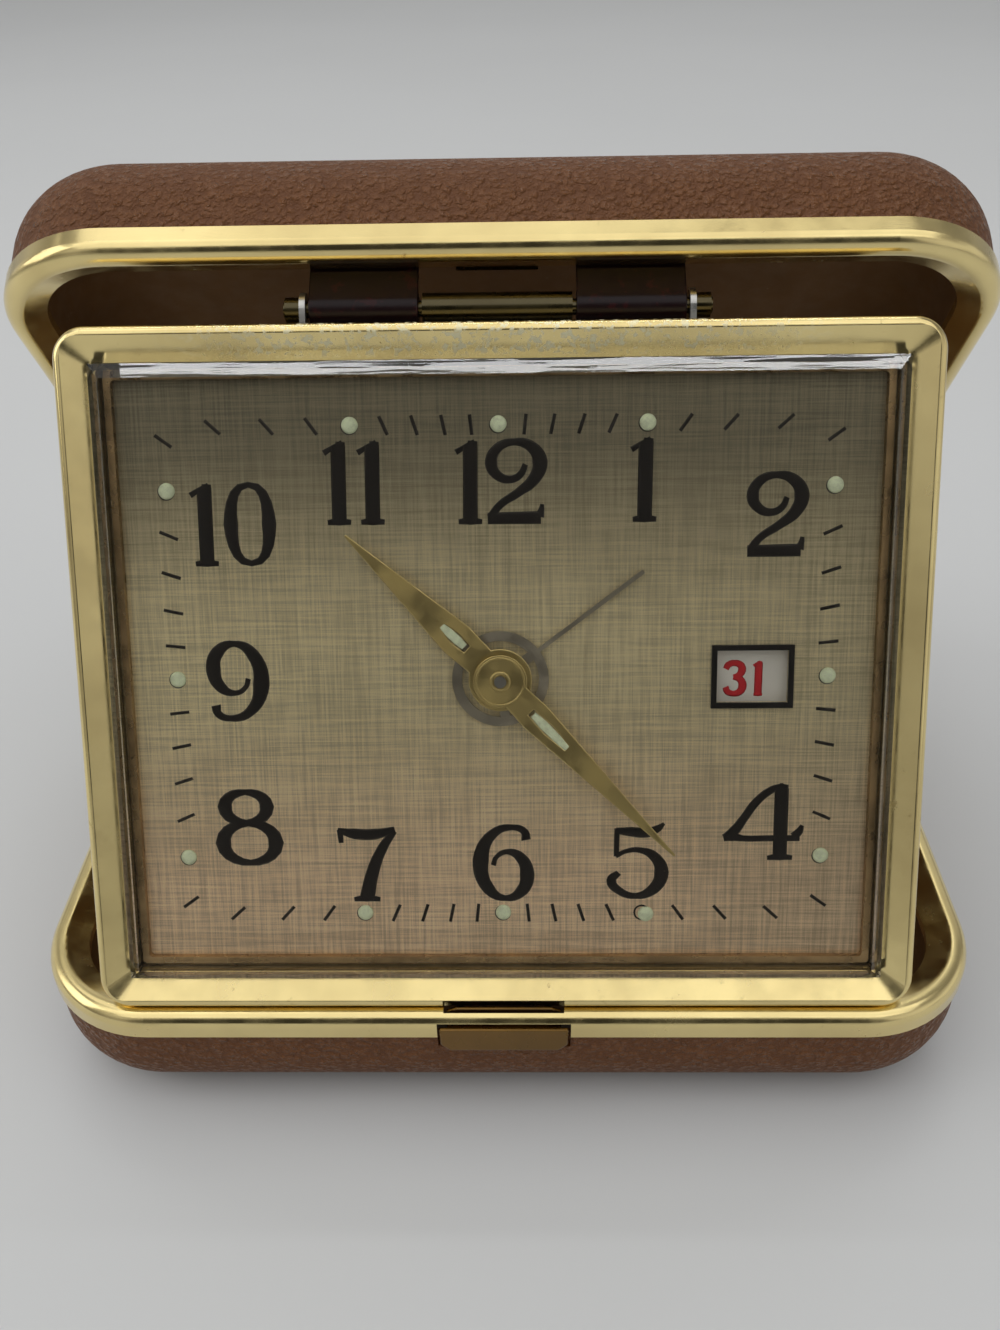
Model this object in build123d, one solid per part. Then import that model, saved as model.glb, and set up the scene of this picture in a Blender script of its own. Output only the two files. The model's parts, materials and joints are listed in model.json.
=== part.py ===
"""Folding travel alarm clock with date: two leather-covered half cases, hinged at the rear, and a
wind-up clock head that hangs from a rod in the lid and stands with its lower edge on the front rim.

Millimetres, +Z up, +Y to the rear. The origin is the centre of the base's flat underside.
"""

import os
from math import atan2, cos, degrees, hypot, pi, radians, sin, tan

from build123d import *

# ---------------------------------------------------------------- case sizes
case_width = 104.0
case_depth = 83.7
half_height = 16.0
corner_radius = 13.7
edge_radius = 9.5
leather_inset = 0.3
leather_thickness = 0.9
shell_thickness = 1.0
lining_thickness = 0.6
rim_sheet = 0.55
rim_wall_height = 3.0
rim_bead_radius = 1.5
rim_width = 4.3
rim_lip_height = 0.9
closed_gap = 0.3

# ---------------------------------------------------------------- how it stands open
lid_angle = 54.2
head_lean = 25.2
head_seat_gap = 0.3
head_front_setback = 0.75

# ---------------------------------------------------------------- case hinge
hinge_pin_radius = 0.45
hinge_knuckle_radius = 0.8
hinge_wall_gap = 0.5
hinge_length = 62.0
hinge_knuckles = 5
hinge_leaf_thickness = 0.3
running_gap = 0.05
body_gap = 0.3

# ---------------------------------------------------------------- head case
head_side_clearance = 5.05
head_end_clearance = 2.65
head_corner_radius = 3.2
bezel_depth = 4.0
bezel_sheet = 0.8
bezel_edge_radius = 0.8
bezel_ridge = 0.9
bezel_band = 3.4
bezel_dish = 1.3
can_inset = 2.5
can_sheet = 0.7
can_back_depth = 16.2
cover_thickness = 0.8
crystal_wall = 0.7
crystal_flange = 0.9
crystal_rise = 1.6
crystal_bevel = 1.4
crystal_top = 1.1
crystal_gap = 0.15

# ---------------------------------------------------------------- head hinge
rod_radius = 0.8
rod_back = 6.5
rod_rise = 1.8
rod_half_length = 21.2
rod_cap_radius = 1.25
rod_cap_length = 1.5
sleeve_radius = 1.5
sleeve_half_length = 7.4
knuckle_radius = 1.6
plate_inner_x = 7.8
plate_outer_x = 18.6
plate_thickness = 0.8
ear_thickness = 0.6
ear_radius = 1.65

# ---------------------------------------------------------------- latch
latch_width = 13.6
latch_proud = 0.45
latch_drop = 4.7
latch_top = 1.25
latch_chamfer = 1.0
latch_stem_top = 1.9
latch_stem_bottom = 2.65
claw_width = 12.2
claw_setback = 1.2
claw_thickness = 0.4
claw_rise = 0.2
latch_travel = 0.6
bezel_notch_height = 0.85

# ---------------------------------------------------------------- dial side
dial_depth = 2.9
dial_thickness = 0.4
seat_frame_width = 0.7
seat_frame_height = 0.8
dot_radius = 0.85
dot_height = 0.35
track_margin = 4.6
date_window_width = 7.2
date_window_height = 5.4
date_frame_margin = 0.55
date_frame_height = 0.3
date_disc_inner = 18.4
date_disc_reach = 12.1
date_disc_share = 0.55
date_window_edge = 0.4
day_finger_reach = 3.4
date_disc_thickness = 0.3
date_disc_gap = 0.4
date_teeth = 31
date_tooth_height = 0.9

# ---------------------------------------------------------------- hands
minute_hand_length = 25.6
hour_hand_length = 21.2
alarm_hand_length = 18.0
minute_hand_turn = -136.0
hour_hand_turn = 46.0
alarm_hand_turn = -53.0
hand_thickness = 0.2
hand_tip_width = 0.24
minute_hand_width = 3.2
minute_root_width = 2.6
minute_hub_radius = 2.7
minute_inlay_start = 4.4
minute_inlay_end = 9.6
minute_inlay_width = 1.15
hour_hand_width = 3.6
hour_root_width = 2.8
hour_hub_radius = 3.2
hour_inlay_start = 4.6
hour_inlay_end = 8.0
hour_inlay_width = 1.25
alarm_hand_width = 0.44
alarm_ring_radius = 4.9
alarm_ring_width = 1.0
alarm_hub_radius = 2.6
minute_hand_level = 1.8
hour_hand_level = 1.1
alarm_hand_level = 0.4
arbor_radius = 0.6
cannon_radius = 1.0
hour_pipe_radius = 1.4
hour_pipe_step = 0.35
alarm_pipe_radius = 1.8
lume_thickness = 0.12

# ---------------------------------------------------------------- movement
plate_width = 60.0
plate_height = 50.0
carrier_depth = 4.3
carrier_thickness = 0.8
carrier_bore = 24.8
front_plate_depth = 6.9
movement_plate_thickness = 1.0
train_space = 6.4
pillar_margin = 3.0
pillar_radius = 1.5
pillar_shank_radius = 1.0
motion_module = 0.25
pipe_module = 0.2
cannon_teeth = 12
minute_wheel_teeth = 36
minute_pinion_teeth = 12
hour_wheel_teeth = 48
alarm_wheel_teeth = 60
alarm_pinion_teeth = 15
day_wheel_teeth = 96
wheel_thickness = 0.4
train_module = 0.25
train_pinion_teeth = 8
pinion_length = 0.7
wheel_boss_radius = 1.2
wheel_arbor_radius = 0.4
alarm_arbor_radius = 0.7
key_arbor_radius = 1.0
stud_radius = 0.5
train_end_gap = 0.15
centre_wheel_teeth = 64
third_wheel_teeth = 60
fourth_wheel_teeth = 64
escape_pinion_teeth = 8
barrel_teeth = 72
centre_pinion_teeth = 12
barrel_module = 0.3
barrel_depth = 5.9
barrel_wall = 0.5
alarm_barrel_teeth = 60
alarm_barrel_at = (-15.0, -11.0)
escape_teeth = 15
escape_radius = 3.6
escape_thickness = 0.3
pallet_distance = 5.4
pallet_reach = 4.5
pallet_spread = 50
balance_distance = 11.6
balance_radius = 5.4
balance_height = 1.2
roller_radius = 1.0
hairspring_outer = 4.2
hammer_at = (-25.5, -5.5)
hammer_length = 10.0
hammer_head_radius = 1.8

# ---------------------------------------------------------------- back controls
key_post_radius = 1.3
key_post_height = 1.0
key_wing_length = 11.0
key_wing_height = 3.0
key_wing_thickness = 1.2
knob_radius = 3.6
knob_height = 2.2
stop_lever_at = (20.0, 12.0)
stop_lever_length = 8.0
cover_screw_radius = 1.8
cover_screw_shank_radius = 0.9
cover_screw_head = 0.7
cover_hole_gap = 0.35

# ================================================================ frames of reference
head_width = case_width - 2 * (rim_width + head_side_clearance)
head_height = case_depth - 2 * (rim_width + head_end_clearance)
hinge_offset = hinge_wall_gap + hinge_knuckle_radius
hinge_rise = closed_gap / 2
hinge_y = case_depth / 2 + hinge_offset
front_y = -case_depth / 2
rim_slope = head_lean
lean = radians(head_lean)
lid_rad = radians(lid_angle)

base_place = Location((0, 0, half_height))
lid_plane = Plane(
    origin=(0, hinge_y, half_height + hinge_rise),
    x_dir=(-1, 0, 0),
    z_dir=(0, -sin(lid_rad), -cos(lid_rad)),
)
lid_place = lid_plane.location * Location((0, -hinge_y, -hinge_rise))


def slope_z(inset):
    """Height of the rim's dished face, measured from the rim plane, at a distance from the outer wall."""
    touch = rim_bead_radius * (1 + sin(lean))
    return rim_bead_radius * (cos(lean) - 1) - (inset - touch) * tan(lean)


def under_z(inset):
    """Height of the underside of the rim's sheet, inside the bead and under the dished face."""
    bore = rim_bead_radius - rim_sheet
    across = inset - rim_bead_radius
    if across > bore * sin(lean):
        return slope_z(inset) - rim_sheet / cos(lean)
    return (bore**2 - across**2) ** 0.5 - rim_bead_radius


# The head's lower front edge lies on a line parallel to the dished rim, one seat gap above it.
head_front_y = front_y + head_front_setback
head_front_z = half_height + slope_z(head_front_setback) + head_seat_gap / cos(lean)
head_plane = Plane(
    origin=(
        0,
        head_front_y + head_height / 2 * sin(lean),
        head_front_z + head_height / 2 * cos(lean),
    ),
    x_dir=(1, 0, 0),
    z_dir=(0, -cos(lean), sin(lean)),
)
head_place = head_plane.location

# The hinge rod, first in the head's frame and then in the lid's.
rod_y = head_height / 2 + rod_rise
rod_z = -rod_back
rod_world = head_plane.from_local_coords(Vector(0, rod_y, rod_z))
rod_in_lid = lid_plane.to_local_coords(rod_world)
rod_lid_y = rod_in_lid.Y + hinge_y
rod_lid_z = rod_in_lid.Z + hinge_rise

parts = {}


def base(name, shape):
    parts[name] = base_place * shape


def lid(name, shape):
    parts[name] = lid_place * shape


def head(name, shape):
    parts[name] = head_place * shape


# ================================================================ general shapes
def slab(width, depth, radius, bottom, top):
    """A plate with rounded corners between two heights."""
    return Pos(0, 0, bottom) * extrude(RectangleRounded(width, depth, radius), top - bottom)


def block(x_range, y_range, z_range):
    """A plain box between pairs of coordinates."""
    size = [high - low for low, high in (x_range, y_range, z_range)]
    middle = [(low + high) / 2 for low, high in (x_range, y_range, z_range)]
    return Pos(*middle) * Box(*size)


def disc(radius, bottom, top, x=0.0, y=0.0):
    """An upright cylinder between two heights."""
    return Pos(x, y, (bottom + top) / 2) * Cylinder(radius, top - bottom)


def tube(outer, inner, bottom, top, x=0.0, y=0.0):
    """A pipe between two heights."""
    bore = disc(inner, bottom - 1, top + 1, x, y)
    return disc(outer, bottom, top, x, y) - bore


def rod_x(radius, left, right, y, z):
    """A cylinder that lies along X."""
    return Pos((left + right) / 2, y, z) * Rot(0, 90, 0) * Cylinder(radius, right - left)


def prism(points, bottom, top):
    """An upright prism over an outline of points."""
    return Pos(0, 0, bottom) * extrude(make_face(Polyline(*points, close=True)), top - bottom)


def profile_x(points, left, right):
    """A prism along X over an outline of (y, z) points."""
    side = Plane(origin=(left, 0, 0), x_dir=(0, 1, 0), z_dir=(1, 0, 0))
    return extrude(side * make_face(Polyline(*points, close=True)), right - left)


def polar(radius, angle):
    """A point on a circle, with the angle in degrees from +X."""
    return radius * cos(radians(angle)), radius * sin(radians(angle))


def gear(teeth, module, bottom, top, x=0.0, y=0.0, turn=0.0):
    """A spur wheel with one tooth centred on the angle turn."""
    pitch_radius = teeth * module / 2
    pitch_angle = 360 / teeth
    tip = pitch_radius + 0.8 * module
    root = pitch_radius - 1.25 * module
    points = []
    for n in range(teeth):
        centre = turn + n * pitch_angle
        points.append(polar(root, centre - 0.26 * pitch_angle))
        points.append(polar(tip, centre - 0.10 * pitch_angle))
        points.append(polar(tip, centre + 0.10 * pitch_angle))
        points.append(polar(root, centre + 0.26 * pitch_angle))
    return Pos(x, y, 0) * prism(points, bottom, top)


def facing_gap(teeth, towards):
    """The turn that puts a wheel's gap, not a tooth, in a direction."""
    return towards + 180 / teeth


# ================================================================ the two half cases
def bowl(inset, top):
    """The solid inside a case skin that lies at an inset from the rim's outer wall."""
    depth = inset - leather_inset
    body = slab(
        case_width - 2 * inset,
        case_depth - 2 * inset,
        corner_radius - inset,
        depth - half_height,
        top,
    )
    return fillet(body.faces().sort_by(Axis.Z)[0].edges(), edge_radius - depth)


def skin(inset, thickness, top):
    """One open bowl-shaped layer of a half case."""
    return bowl(inset, top) - bowl(inset + thickness, top + 1)


def rim_path():
    """The closed outline of the case, which starts at the middle of the front."""
    half_x = case_width / 2
    half_y = case_depth / 2
    in_x = half_x - corner_radius
    in_y = half_y - corner_radius
    with BuildLine() as outline:
        Line((0, -half_y), (in_x, -half_y))
        CenterArc((in_x, -in_y), corner_radius, -90, 90)
        Line((half_x, -in_y), (half_x, in_y))
        CenterArc((in_x, in_y), corner_radius, 0, 90)
        Line((in_x, half_y), (-in_x, half_y))
        CenterArc((-in_x, in_y), corner_radius, 90, 90)
        Line((-half_x, in_y), (-half_x, -in_y))
        CenterArc((-in_x, -in_y), corner_radius, 180, 90)
        Line((-in_x, -half_y), (0, -half_y))
    return outline.wire()


def rim_band():
    """The brass rim: outer wall, bead, dished face and inner lip, all in one sheet."""
    bead = rim_bead_radius
    crown = (pi / 2 - lean) / 2
    inner_z = slope_z(rim_width)

    def around(radius, angle):
        return (bead - radius * sin(angle), radius * cos(angle) - bead)

    outside = [around(bead, angle) for angle in (pi / 2, crown, -lean)]
    inside = [around(bead - rim_sheet, angle) for angle in (-lean, crown, pi / 2)]
    section = Plane(origin=(0, front_y, 0), x_dir=(0, 1, 0), z_dir=(1, 0, 0))
    with BuildLine() as edge:
        Line((0, -rim_wall_height), outside[0])
        ThreePointArc(*outside)
        Polyline(
            outside[-1],
            (rim_width, inner_z),
            (rim_width, inner_z - rim_lip_height),
            (rim_width - rim_sheet, inner_z - rim_lip_height),
            (rim_width - rim_sheet, under_z(rim_width - rim_sheet)),
            inside[0],
        )
        ThreePointArc(*inside)
        Polyline(inside[-1], (rim_sheet, -rim_wall_height), (0, -rim_wall_height))
    return sweep(section * make_face(edge.edges()), path=rim_path())


leather_top = -rim_wall_height
shell_inset = leather_inset + leather_thickness
lining_inset = shell_inset + shell_thickness
inner_inset = lining_inset + lining_thickness
shell_top = min(under_z(shell_inset), under_z(shell_inset + shell_thickness)) - running_gap
lining_top = under_z(inner_inset) - running_gap
rim = rim_band()
leather = skin(leather_inset, leather_thickness, leather_top)
shell = skin(shell_inset, shell_thickness, shell_top)
lining = skin(lining_inset, lining_thickness, lining_top)

# ---------------------------------------------------------------- latch
latch_half = latch_width / 2 + body_gap
claw_half = claw_width / 2 + body_gap
rim_notch = block(
    (-latch_half, latch_half),
    (front_y - 1, front_y + rim_sheet + 0.1),
    (-rim_wall_height - 1, body_gap - latch_top),
)
claw_slot = block(
    (-claw_half, claw_half),
    (
        front_y + claw_setback - body_gap,
        front_y + claw_setback + claw_thickness + latch_travel + body_gap,
    ),
    (-rim_wall_height, 1),
)
leather_recess = block(
    (-latch_half, latch_half),
    (front_y - 1, front_y + latch_travel + body_gap),
    (-latch_drop - body_gap, 0),
)
stem_pocket = block(
    (-latch_half, latch_half),
    (front_y + leather_inset, front_y + rim_width - rim_sheet),
    (-latch_stem_bottom - body_gap, 0),
)
base("base_rim", rim - rim_notch - claw_slot)
base("base_leather", leather - leather_recess)
base("base_shell", shell - stem_pocket)
base("base_lining", lining - stem_pocket)


def latch_button():
    """The push tab, its stem through the rim's notch, and the claw that holds the lid."""
    half = latch_width / 2
    tab_outline = Polyline(
        (-half, -latch_top),
        (half, -latch_top),
        (half, latch_chamfer - latch_drop),
        (half - latch_chamfer, -latch_drop),
        (latch_chamfer - half, -latch_drop),
        (-half, latch_chamfer - latch_drop),
        close=True,
    )
    tab_plane = Plane(origin=(0, front_y, 0), x_dir=(1, 0, 0), z_dir=(0, -1, 0))
    tab = extrude(tab_plane * make_face(tab_outline), latch_proud)
    reach = claw_width / 2
    claw_back = front_y + claw_setback + claw_thickness
    stem = block(
        (-reach, reach),
        (front_y - latch_proud, claw_back),
        (-latch_stem_bottom, -latch_stem_top),
    )
    claw_outline = Polyline(
        (-reach, -latch_stem_bottom),
        (reach, -latch_stem_bottom),
        (reach, claw_rise - latch_chamfer / 2),
        (reach - latch_chamfer, claw_rise),
        (latch_chamfer - reach, claw_rise),
        (-reach, claw_rise - latch_chamfer / 2),
        close=True,
    )
    claw_plane = Plane(origin=(0, claw_back, 0), x_dir=(1, 0, 0), z_dir=(0, -1, 0))
    claw = extrude(claw_plane * make_face(claw_outline), claw_thickness)
    return tab + stem + claw


base("latch_button", latch_button())

# A bowed leaf behind the claw pushes the button out; its ends bear on the shell's pocket.
spring_front = front_y + claw_setback + claw_thickness + running_gap
spring_back = front_y + rim_width - rim_sheet - 2 * running_gap
spring_leaf = 0.15
spring_height = 0.55
spring_half = claw_width / 2 - latch_chamfer
spring_z = (-latch_stem_bottom, spring_height - latch_stem_bottom)


def latch_spring():
    """The bowed leaf spring."""
    bow = [
        (-spring_half, spring_back),
        (-spring_half / 2, (spring_front + spring_back) / 2),
        (0, spring_front + spring_leaf),
        (spring_half / 2, (spring_front + spring_back) / 2),
        (spring_half, spring_back),
    ]
    front = [(x, y - spring_leaf) for x, y in reversed(bow)]
    return prism(bow + front, *spring_z)


base("latch_spring", latch_spring())

lid("lid_rim", rim)
lid("lid_leather", leather)
lid("lid_shell", shell)
lid("lid_lining", lining)

# The catch is a short lug on the inside of the lid's front lip, which the claw holds.
catch_half = claw_width / 3
catch_outer = front_y + rim_width
lid(
    "lid_catch",
    block(
        (-catch_half, catch_half),
        (catch_outer, catch_outer + rim_sheet),
        (slope_z(rim_width) - rim_lip_height, slope_z(rim_width)),
    ),
)


# ---------------------------------------------------------------- case hinge
def hinge_leaf(first):
    """A hinge leaf with every second knuckle, from knuckle number first."""
    pitch = hinge_length / hinge_knuckles
    left = -hinge_length / 2
    wall = case_depth / 2
    bottom = -rim_wall_height + hinge_leaf_thickness
    leaf = block(
        (left, -left), (wall, wall + hinge_leaf_thickness), (bottom, -hinge_rise)
    )
    for n in range(hinge_knuckles):
        low = left + n * pitch + body_gap / 2
        high = low + pitch - body_gap
        if n % 2 == first:
            neck_top = hinge_rise - hinge_pin_radius - 2 * running_gap
            neck = block(
                (low, high), (wall, hinge_y), (hinge_rise - hinge_knuckle_radius, neck_top)
            )
            leaf += neck
            leaf += rod_x(hinge_knuckle_radius, low, high, hinge_y, hinge_rise)
        else:
            relief = hinge_knuckle_radius + body_gap
            leaf -= rod_x(relief, low - body_gap, high + body_gap, hinge_y, hinge_rise)
    bore = hinge_pin_radius + running_gap
    return leaf - rod_x(bore, left - 1, 1 - left, hinge_y, hinge_rise)


base("base_hinge_leaf", hinge_leaf(0))
lid("lid_hinge_leaf", hinge_leaf(1))
base(
    "case_hinge_pin",
    rod_x(hinge_pin_radius, -hinge_length / 2, hinge_length / 2, hinge_y, hinge_rise),
)


# ---------------------------------------------------------------- head hinge plate, in the lid
def head_hinge_plate():
    """The plate on the lid's front wall, with two arms that end in knuckles round the rod."""
    wall_y = front_y + inner_inset
    lip_y = front_y + rim_width + body_gap
    foot_top = slope_z(rim_width) - rim_lip_height - 1.2
    foot_bottom = foot_top - 2.6
    edge_y = rod_lid_y - knuckle_radius
    arm = [
        (wall_y, foot_bottom),
        (wall_y, foot_top),
        (lip_y, foot_top + 1.0),
        (max(lip_y, edge_y), rod_lid_z),
        (max(lip_y, edge_y) + plate_thickness, rod_lid_z),
        (lip_y + plate_thickness, foot_top + 0.7),
        (wall_y + plate_thickness, foot_top - 0.3),
        (wall_y + plate_thickness, foot_bottom),
    ]
    plate = None
    for side in (-1, 1):
        low, high = sorted((side * plate_inner_x, side * plate_outer_x))
        piece = profile_x(arm, low, high)
        piece += rod_x(knuckle_radius, low, high, rod_lid_y, rod_lid_z)
        plate = piece if plate is None else plate + piece
    joined = [point for point in arm if point[1] <= foot_top + 1.0]
    plate += profile_x(joined, -plate_inner_x, plate_inner_x)
    bore = rod_radius + running_gap
    return plate - rod_x(bore, -plate_outer_x - 1, plate_outer_x + 1, rod_lid_y, rod_lid_z)


lid("head_hinge_plate", head_hinge_plate())

# ================================================================ head case
opening_width = head_width - 2 * bezel_band
opening_height = head_height - 2 * bezel_band
can_width = head_width - 2 * can_inset
can_height = head_height - 2 * can_inset
can_radius = head_corner_radius + 0.8
flange_width = head_width - 2 * bezel_sheet
flange_height = head_height - 2 * bezel_sheet
flange_radius = head_corner_radius - bezel_sheet


def bezel():
    """The brass frame: a rounded outer edge, a face that dips to the crystal, and a short skirt."""
    body = slab(head_width, head_height, head_corner_radius, -bezel_depth, 0)
    body = fillet(body.faces().sort_by(Axis.Z)[-1].edges(), bezel_edge_radius)
    ridge = Pos(0, 0, 0) * RectangleRounded(
        head_width - 2 * bezel_ridge, head_height - 2 * bezel_ridge, 1.6
    )
    inner = Pos(0, 0, -bezel_dish) * RectangleRounded(opening_width, opening_height, 0.6)
    dip = loft([inner.face(), ridge.face()])
    opening = slab(opening_width, opening_height, 0.6, -bezel_depth - 1, -bezel_dish)
    hollow = slab(
        flange_width, flange_height, flange_radius, -bezel_depth - 1, -bezel_dish - bezel_sheet
    )
    notch_low = -head_height / 2
    notch = block(
        (-claw_half, claw_half),
        (notch_low - 1, notch_low + bezel_notch_height),
        (-bezel_depth - 1, 1),
    )
    return body - dip - opening - hollow - notch


head("bezel", bezel())

seat_z = -bezel_dish - bezel_sheet
crystal_width = opening_width - 2 * crystal_gap
crystal_height = opening_height - 2 * crystal_gap


def crystal():
    """The clear cover: a flange under the bezel, upright walls and a bevelled top."""
    flange = slab(
        crystal_width + 2 * crystal_flange,
        crystal_height + 2 * crystal_flange,
        1.2,
        seat_z - crystal_flange + 0.1,
        seat_z,
    )
    half_x = crystal_width / 2
    half_y = crystal_height / 2
    floor = seat_z - crystal_flange + 0.1
    raised = block((-half_x, half_x), (-half_y, half_y), (floor, crystal_rise))
    raised = chamfer(raised.faces().sort_by(Axis.Z)[-1].edges(), crystal_bevel)
    cavity = slab(
        crystal_width - 2 * crystal_wall,
        crystal_height - 2 * crystal_wall,
        0.4,
        floor - 1,
        crystal_rise - crystal_top,
    )
    return flange + raised - cavity


head("crystal", crystal())


def movement_can():
    """The can behind the bezel: a flange that fits the bezel's skirt, and a straight wall."""
    flange_top = seat_z - crystal_flange
    wall = slab(can_width, can_height, can_radius, -can_back_depth, flange_top)
    flange = slab(
        flange_width - 0.1, flange_height - 0.1, flange_radius, -bezel_depth, flange_top
    )
    hollow = slab(
        can_width - 2 * can_sheet,
        can_height - 2 * can_sheet,
        can_radius - can_sheet,
        -can_back_depth - 1,
        0,
    )
    notch = block(
        (-claw_half, claw_half),
        (-head_height / 2 - 1, bezel_notch_height - head_height / 2),
        (-bezel_depth - 1, 1),
    )
    return wall + flange - hollow - notch


head("movement_can", movement_can())

# ---------------------------------------------------------------- head bracket and hinge rod
can_top = can_height / 2
bracket_sheet = 0.6
bracket_low = -rod_back - ear_radius
bracket_high = -rod_back + ear_radius
ear_x = plate_outer_x + body_gap


def head_bracket():
    """A strap on top of the can, with an ear at each end that carries the rod."""
    reach = ear_x + ear_thickness
    strap = block((-reach, reach), (can_top, can_top + bracket_sheet), (bracket_low, bracket_high))
    for side in (-1, 1):
        low, high = sorted((side * ear_x, side * reach))
        leg = block((low, high), (can_top, rod_y), (bracket_low, bracket_high))
        strap += leg + rod_x(ear_radius, low, high, rod_y, rod_z)
    return strap - rod_x(rod_radius, -reach - 1, reach + 1, rod_y, rod_z)


def hinge_rod():
    """The rod, with a riveted cap outside each ear."""
    reach = ear_x + ear_thickness
    rod = rod_x(rod_radius, -rod_half_length, rod_half_length, rod_y, rod_z)
    for side in (-1, 1):
        low, high = sorted((side * reach, side * (reach + rod_cap_length)))
        rod += rod_x(rod_cap_radius, low, high, rod_y, rod_z)
    return rod


head("head_bracket", head_bracket())
head("hinge_rod", hinge_rod())
sleeve = rod_x(sleeve_radius, -sleeve_half_length, sleeve_half_length, rod_y, rod_z)
sleeve_bore = rod_x(rod_radius, -rod_half_length, rod_half_length, rod_y, rod_z)
head("rod_sleeve", sleeve - sleeve_bore)

# ================================================================ dial side
dial_back = -dial_depth - dial_thickness
dial_width = can_width - 2 * can_sheet - 2 * running_gap
dial_height = can_height - 2 * can_sheet - 2 * running_gap
dial_corner = can_radius - can_sheet
date_disc_outer = date_disc_reach + date_disc_share * dial_height / 2
window_half_x = date_window_width / 2
window_half_y = date_window_height / 2
date_window_x = date_disc_outer - date_window_edge - window_half_x
date_window = block(
    (date_window_x - window_half_x, date_window_x + window_half_x),
    (-window_half_y, window_half_y),
    (-dial_depth - 3, 1),
)
dial_bore = alarm_pipe_radius + 2 * running_gap
dial_plate = slab(dial_width, dial_height, dial_corner, dial_back, -dial_depth)
head("dial", dial_plate - date_window - disc(dial_bore, -dial_depth - 3, 1))


seat_width = crystal_width - 2 * crystal_wall - 2 * running_gap
seat_height = crystal_height - 2 * crystal_wall - 2 * running_gap
seen_width = seat_width - 2 * seat_frame_width
seen_height = seat_height - 2 * seat_frame_width


def dial_seat_frame():
    """The stepped frame between the crystal and the dial's edge."""
    ring = slab(seat_width, seat_height, 0.4, -dial_depth, seat_frame_height - dial_depth)
    return ring - slab(seen_width, seen_height, 0.4, -dial_depth - 1, 0)


head("dial_seat_frame", dial_seat_frame())


def track_point(hour):
    """Where an hour mark lies on the rectangular minute track."""
    across, up = sin(radians(30 * hour)), cos(radians(30 * hour))
    half_x = seen_width / 2 - track_margin
    half_y = seen_height / 2 - track_margin
    reach = min(
        half_x / abs(across) if abs(across) > 1e-6 else 1e6,
        half_y / abs(up) if abs(up) > 1e-6 else 1e6,
    )
    return reach * across, reach * up


def luminous_dots():
    """A raised dot on the minute track at each hour."""
    dots = []
    for hour in range(1, 13):
        x, y = track_point(hour)
        dots.append(disc(dot_radius, -dial_depth, dot_height - dial_depth, x, y))
    return Compound(dots)


head("luminous_dots", luminous_dots())


def date_window_frame():
    """The narrow frame round the date window, with a lip down its sides."""
    margin = date_frame_margin
    outer = block(
        (date_window_x - window_half_x - margin, date_window_x + window_half_x + margin),
        (-window_half_y - margin, window_half_y + margin),
        (-dial_depth, date_frame_height - dial_depth),
    )
    return outer - date_window


head("date_window_frame", date_window_frame())


def date_disc():
    """The ring that carries the days, with a tooth inside for each day."""
    top = dial_back - date_disc_gap
    bottom = top - date_disc_thickness
    ring = tube(date_disc_outer, date_disc_inner + date_tooth_height, bottom, top)
    half_width = 0.5
    for n in range(date_teeth):
        low = date_disc_inner
        high = date_disc_inner + date_tooth_height + 0.3
        tooth = block((low, high), (-half_width, half_width), (bottom, top))
        ring += Rot(0, 0, (n + 0.5) * 360 / date_teeth) * tooth
    return ring


head("date_disc", date_disc())


def date_carrier():
    """The plate behind the dial, with a recess in which the date disc turns."""
    bottom = -carrier_depth - carrier_thickness
    plate = slab(dial_width, dial_height, dial_corner, bottom, dial_back)
    recess = disc(date_disc_outer + running_gap, -carrier_depth, 0)
    return plate - recess - disc(carrier_bore, bottom - 1, 0)


head("date_carrier", date_carrier())

# ================================================================ hands
hand_base = -dial_depth


def hand(length, root_width, hub_radius, widest, level, turn, bore, slot):
    """A kite-shaped hand with a hub ring and a slot for its luminous inlay."""
    bottom = hand_base + level
    top = bottom + hand_thickness
    tip = hand_tip_width / 2
    blade = [
        (-root_width / 2, 0),
        (-widest / 2, hub_radius * 1.9),
        (-tip, length - tip),
        (0, length),
        (tip, length - tip),
        (widest / 2, hub_radius * 1.9),
        (root_width / 2, 0),
    ]
    shape = prism(blade, bottom, top) + disc(hub_radius, bottom, top)
    shape -= prism(slot, bottom - 1, top + 1)
    shape -= disc(bore, bottom - 1, top + 1)
    return Rot(0, 0, turn) * shape


def inlay_outline(low, high, width):
    """The outline of a hand's luminous inlay."""
    return [
        (-width / 2 * 0.7, low),
        (-width / 2, (low + high) / 2),
        (-width / 4, high),
        (width / 4, high),
        (width / 2, (low + high) / 2),
        (width / 2 * 0.7, low),
    ]


def inlay(outline, level, turn):
    """The luminous filling of a hand's slot."""
    bottom = hand_base + level
    return Rot(0, 0, turn) * prism(outline, bottom, bottom + hand_thickness - running_gap)


hour_slot = inlay_outline(hour_inlay_start, hour_inlay_end, hour_inlay_width)
minute_slot = inlay_outline(minute_inlay_start, minute_inlay_end, minute_inlay_width)
head(
    "minute_hand",
    hand(
        minute_hand_length,
        minute_root_width,
        minute_hub_radius,
        minute_hand_width,
        minute_hand_level,
        minute_hand_turn,
        arbor_radius,
        minute_slot,
    ),
)
head(
    "hour_hand",
    hand(
        hour_hand_length,
        hour_root_width,
        hour_hub_radius,
        hour_hand_width,
        hour_hand_level,
        hour_hand_turn,
        hour_pipe_radius - hour_pipe_step,
        hour_slot,
    ),
)
head("minute_hand_inlay", inlay(minute_slot, minute_hand_level, minute_hand_turn))
head("hour_hand_inlay", inlay(hour_slot, hour_hand_level, hour_hand_turn))


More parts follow.
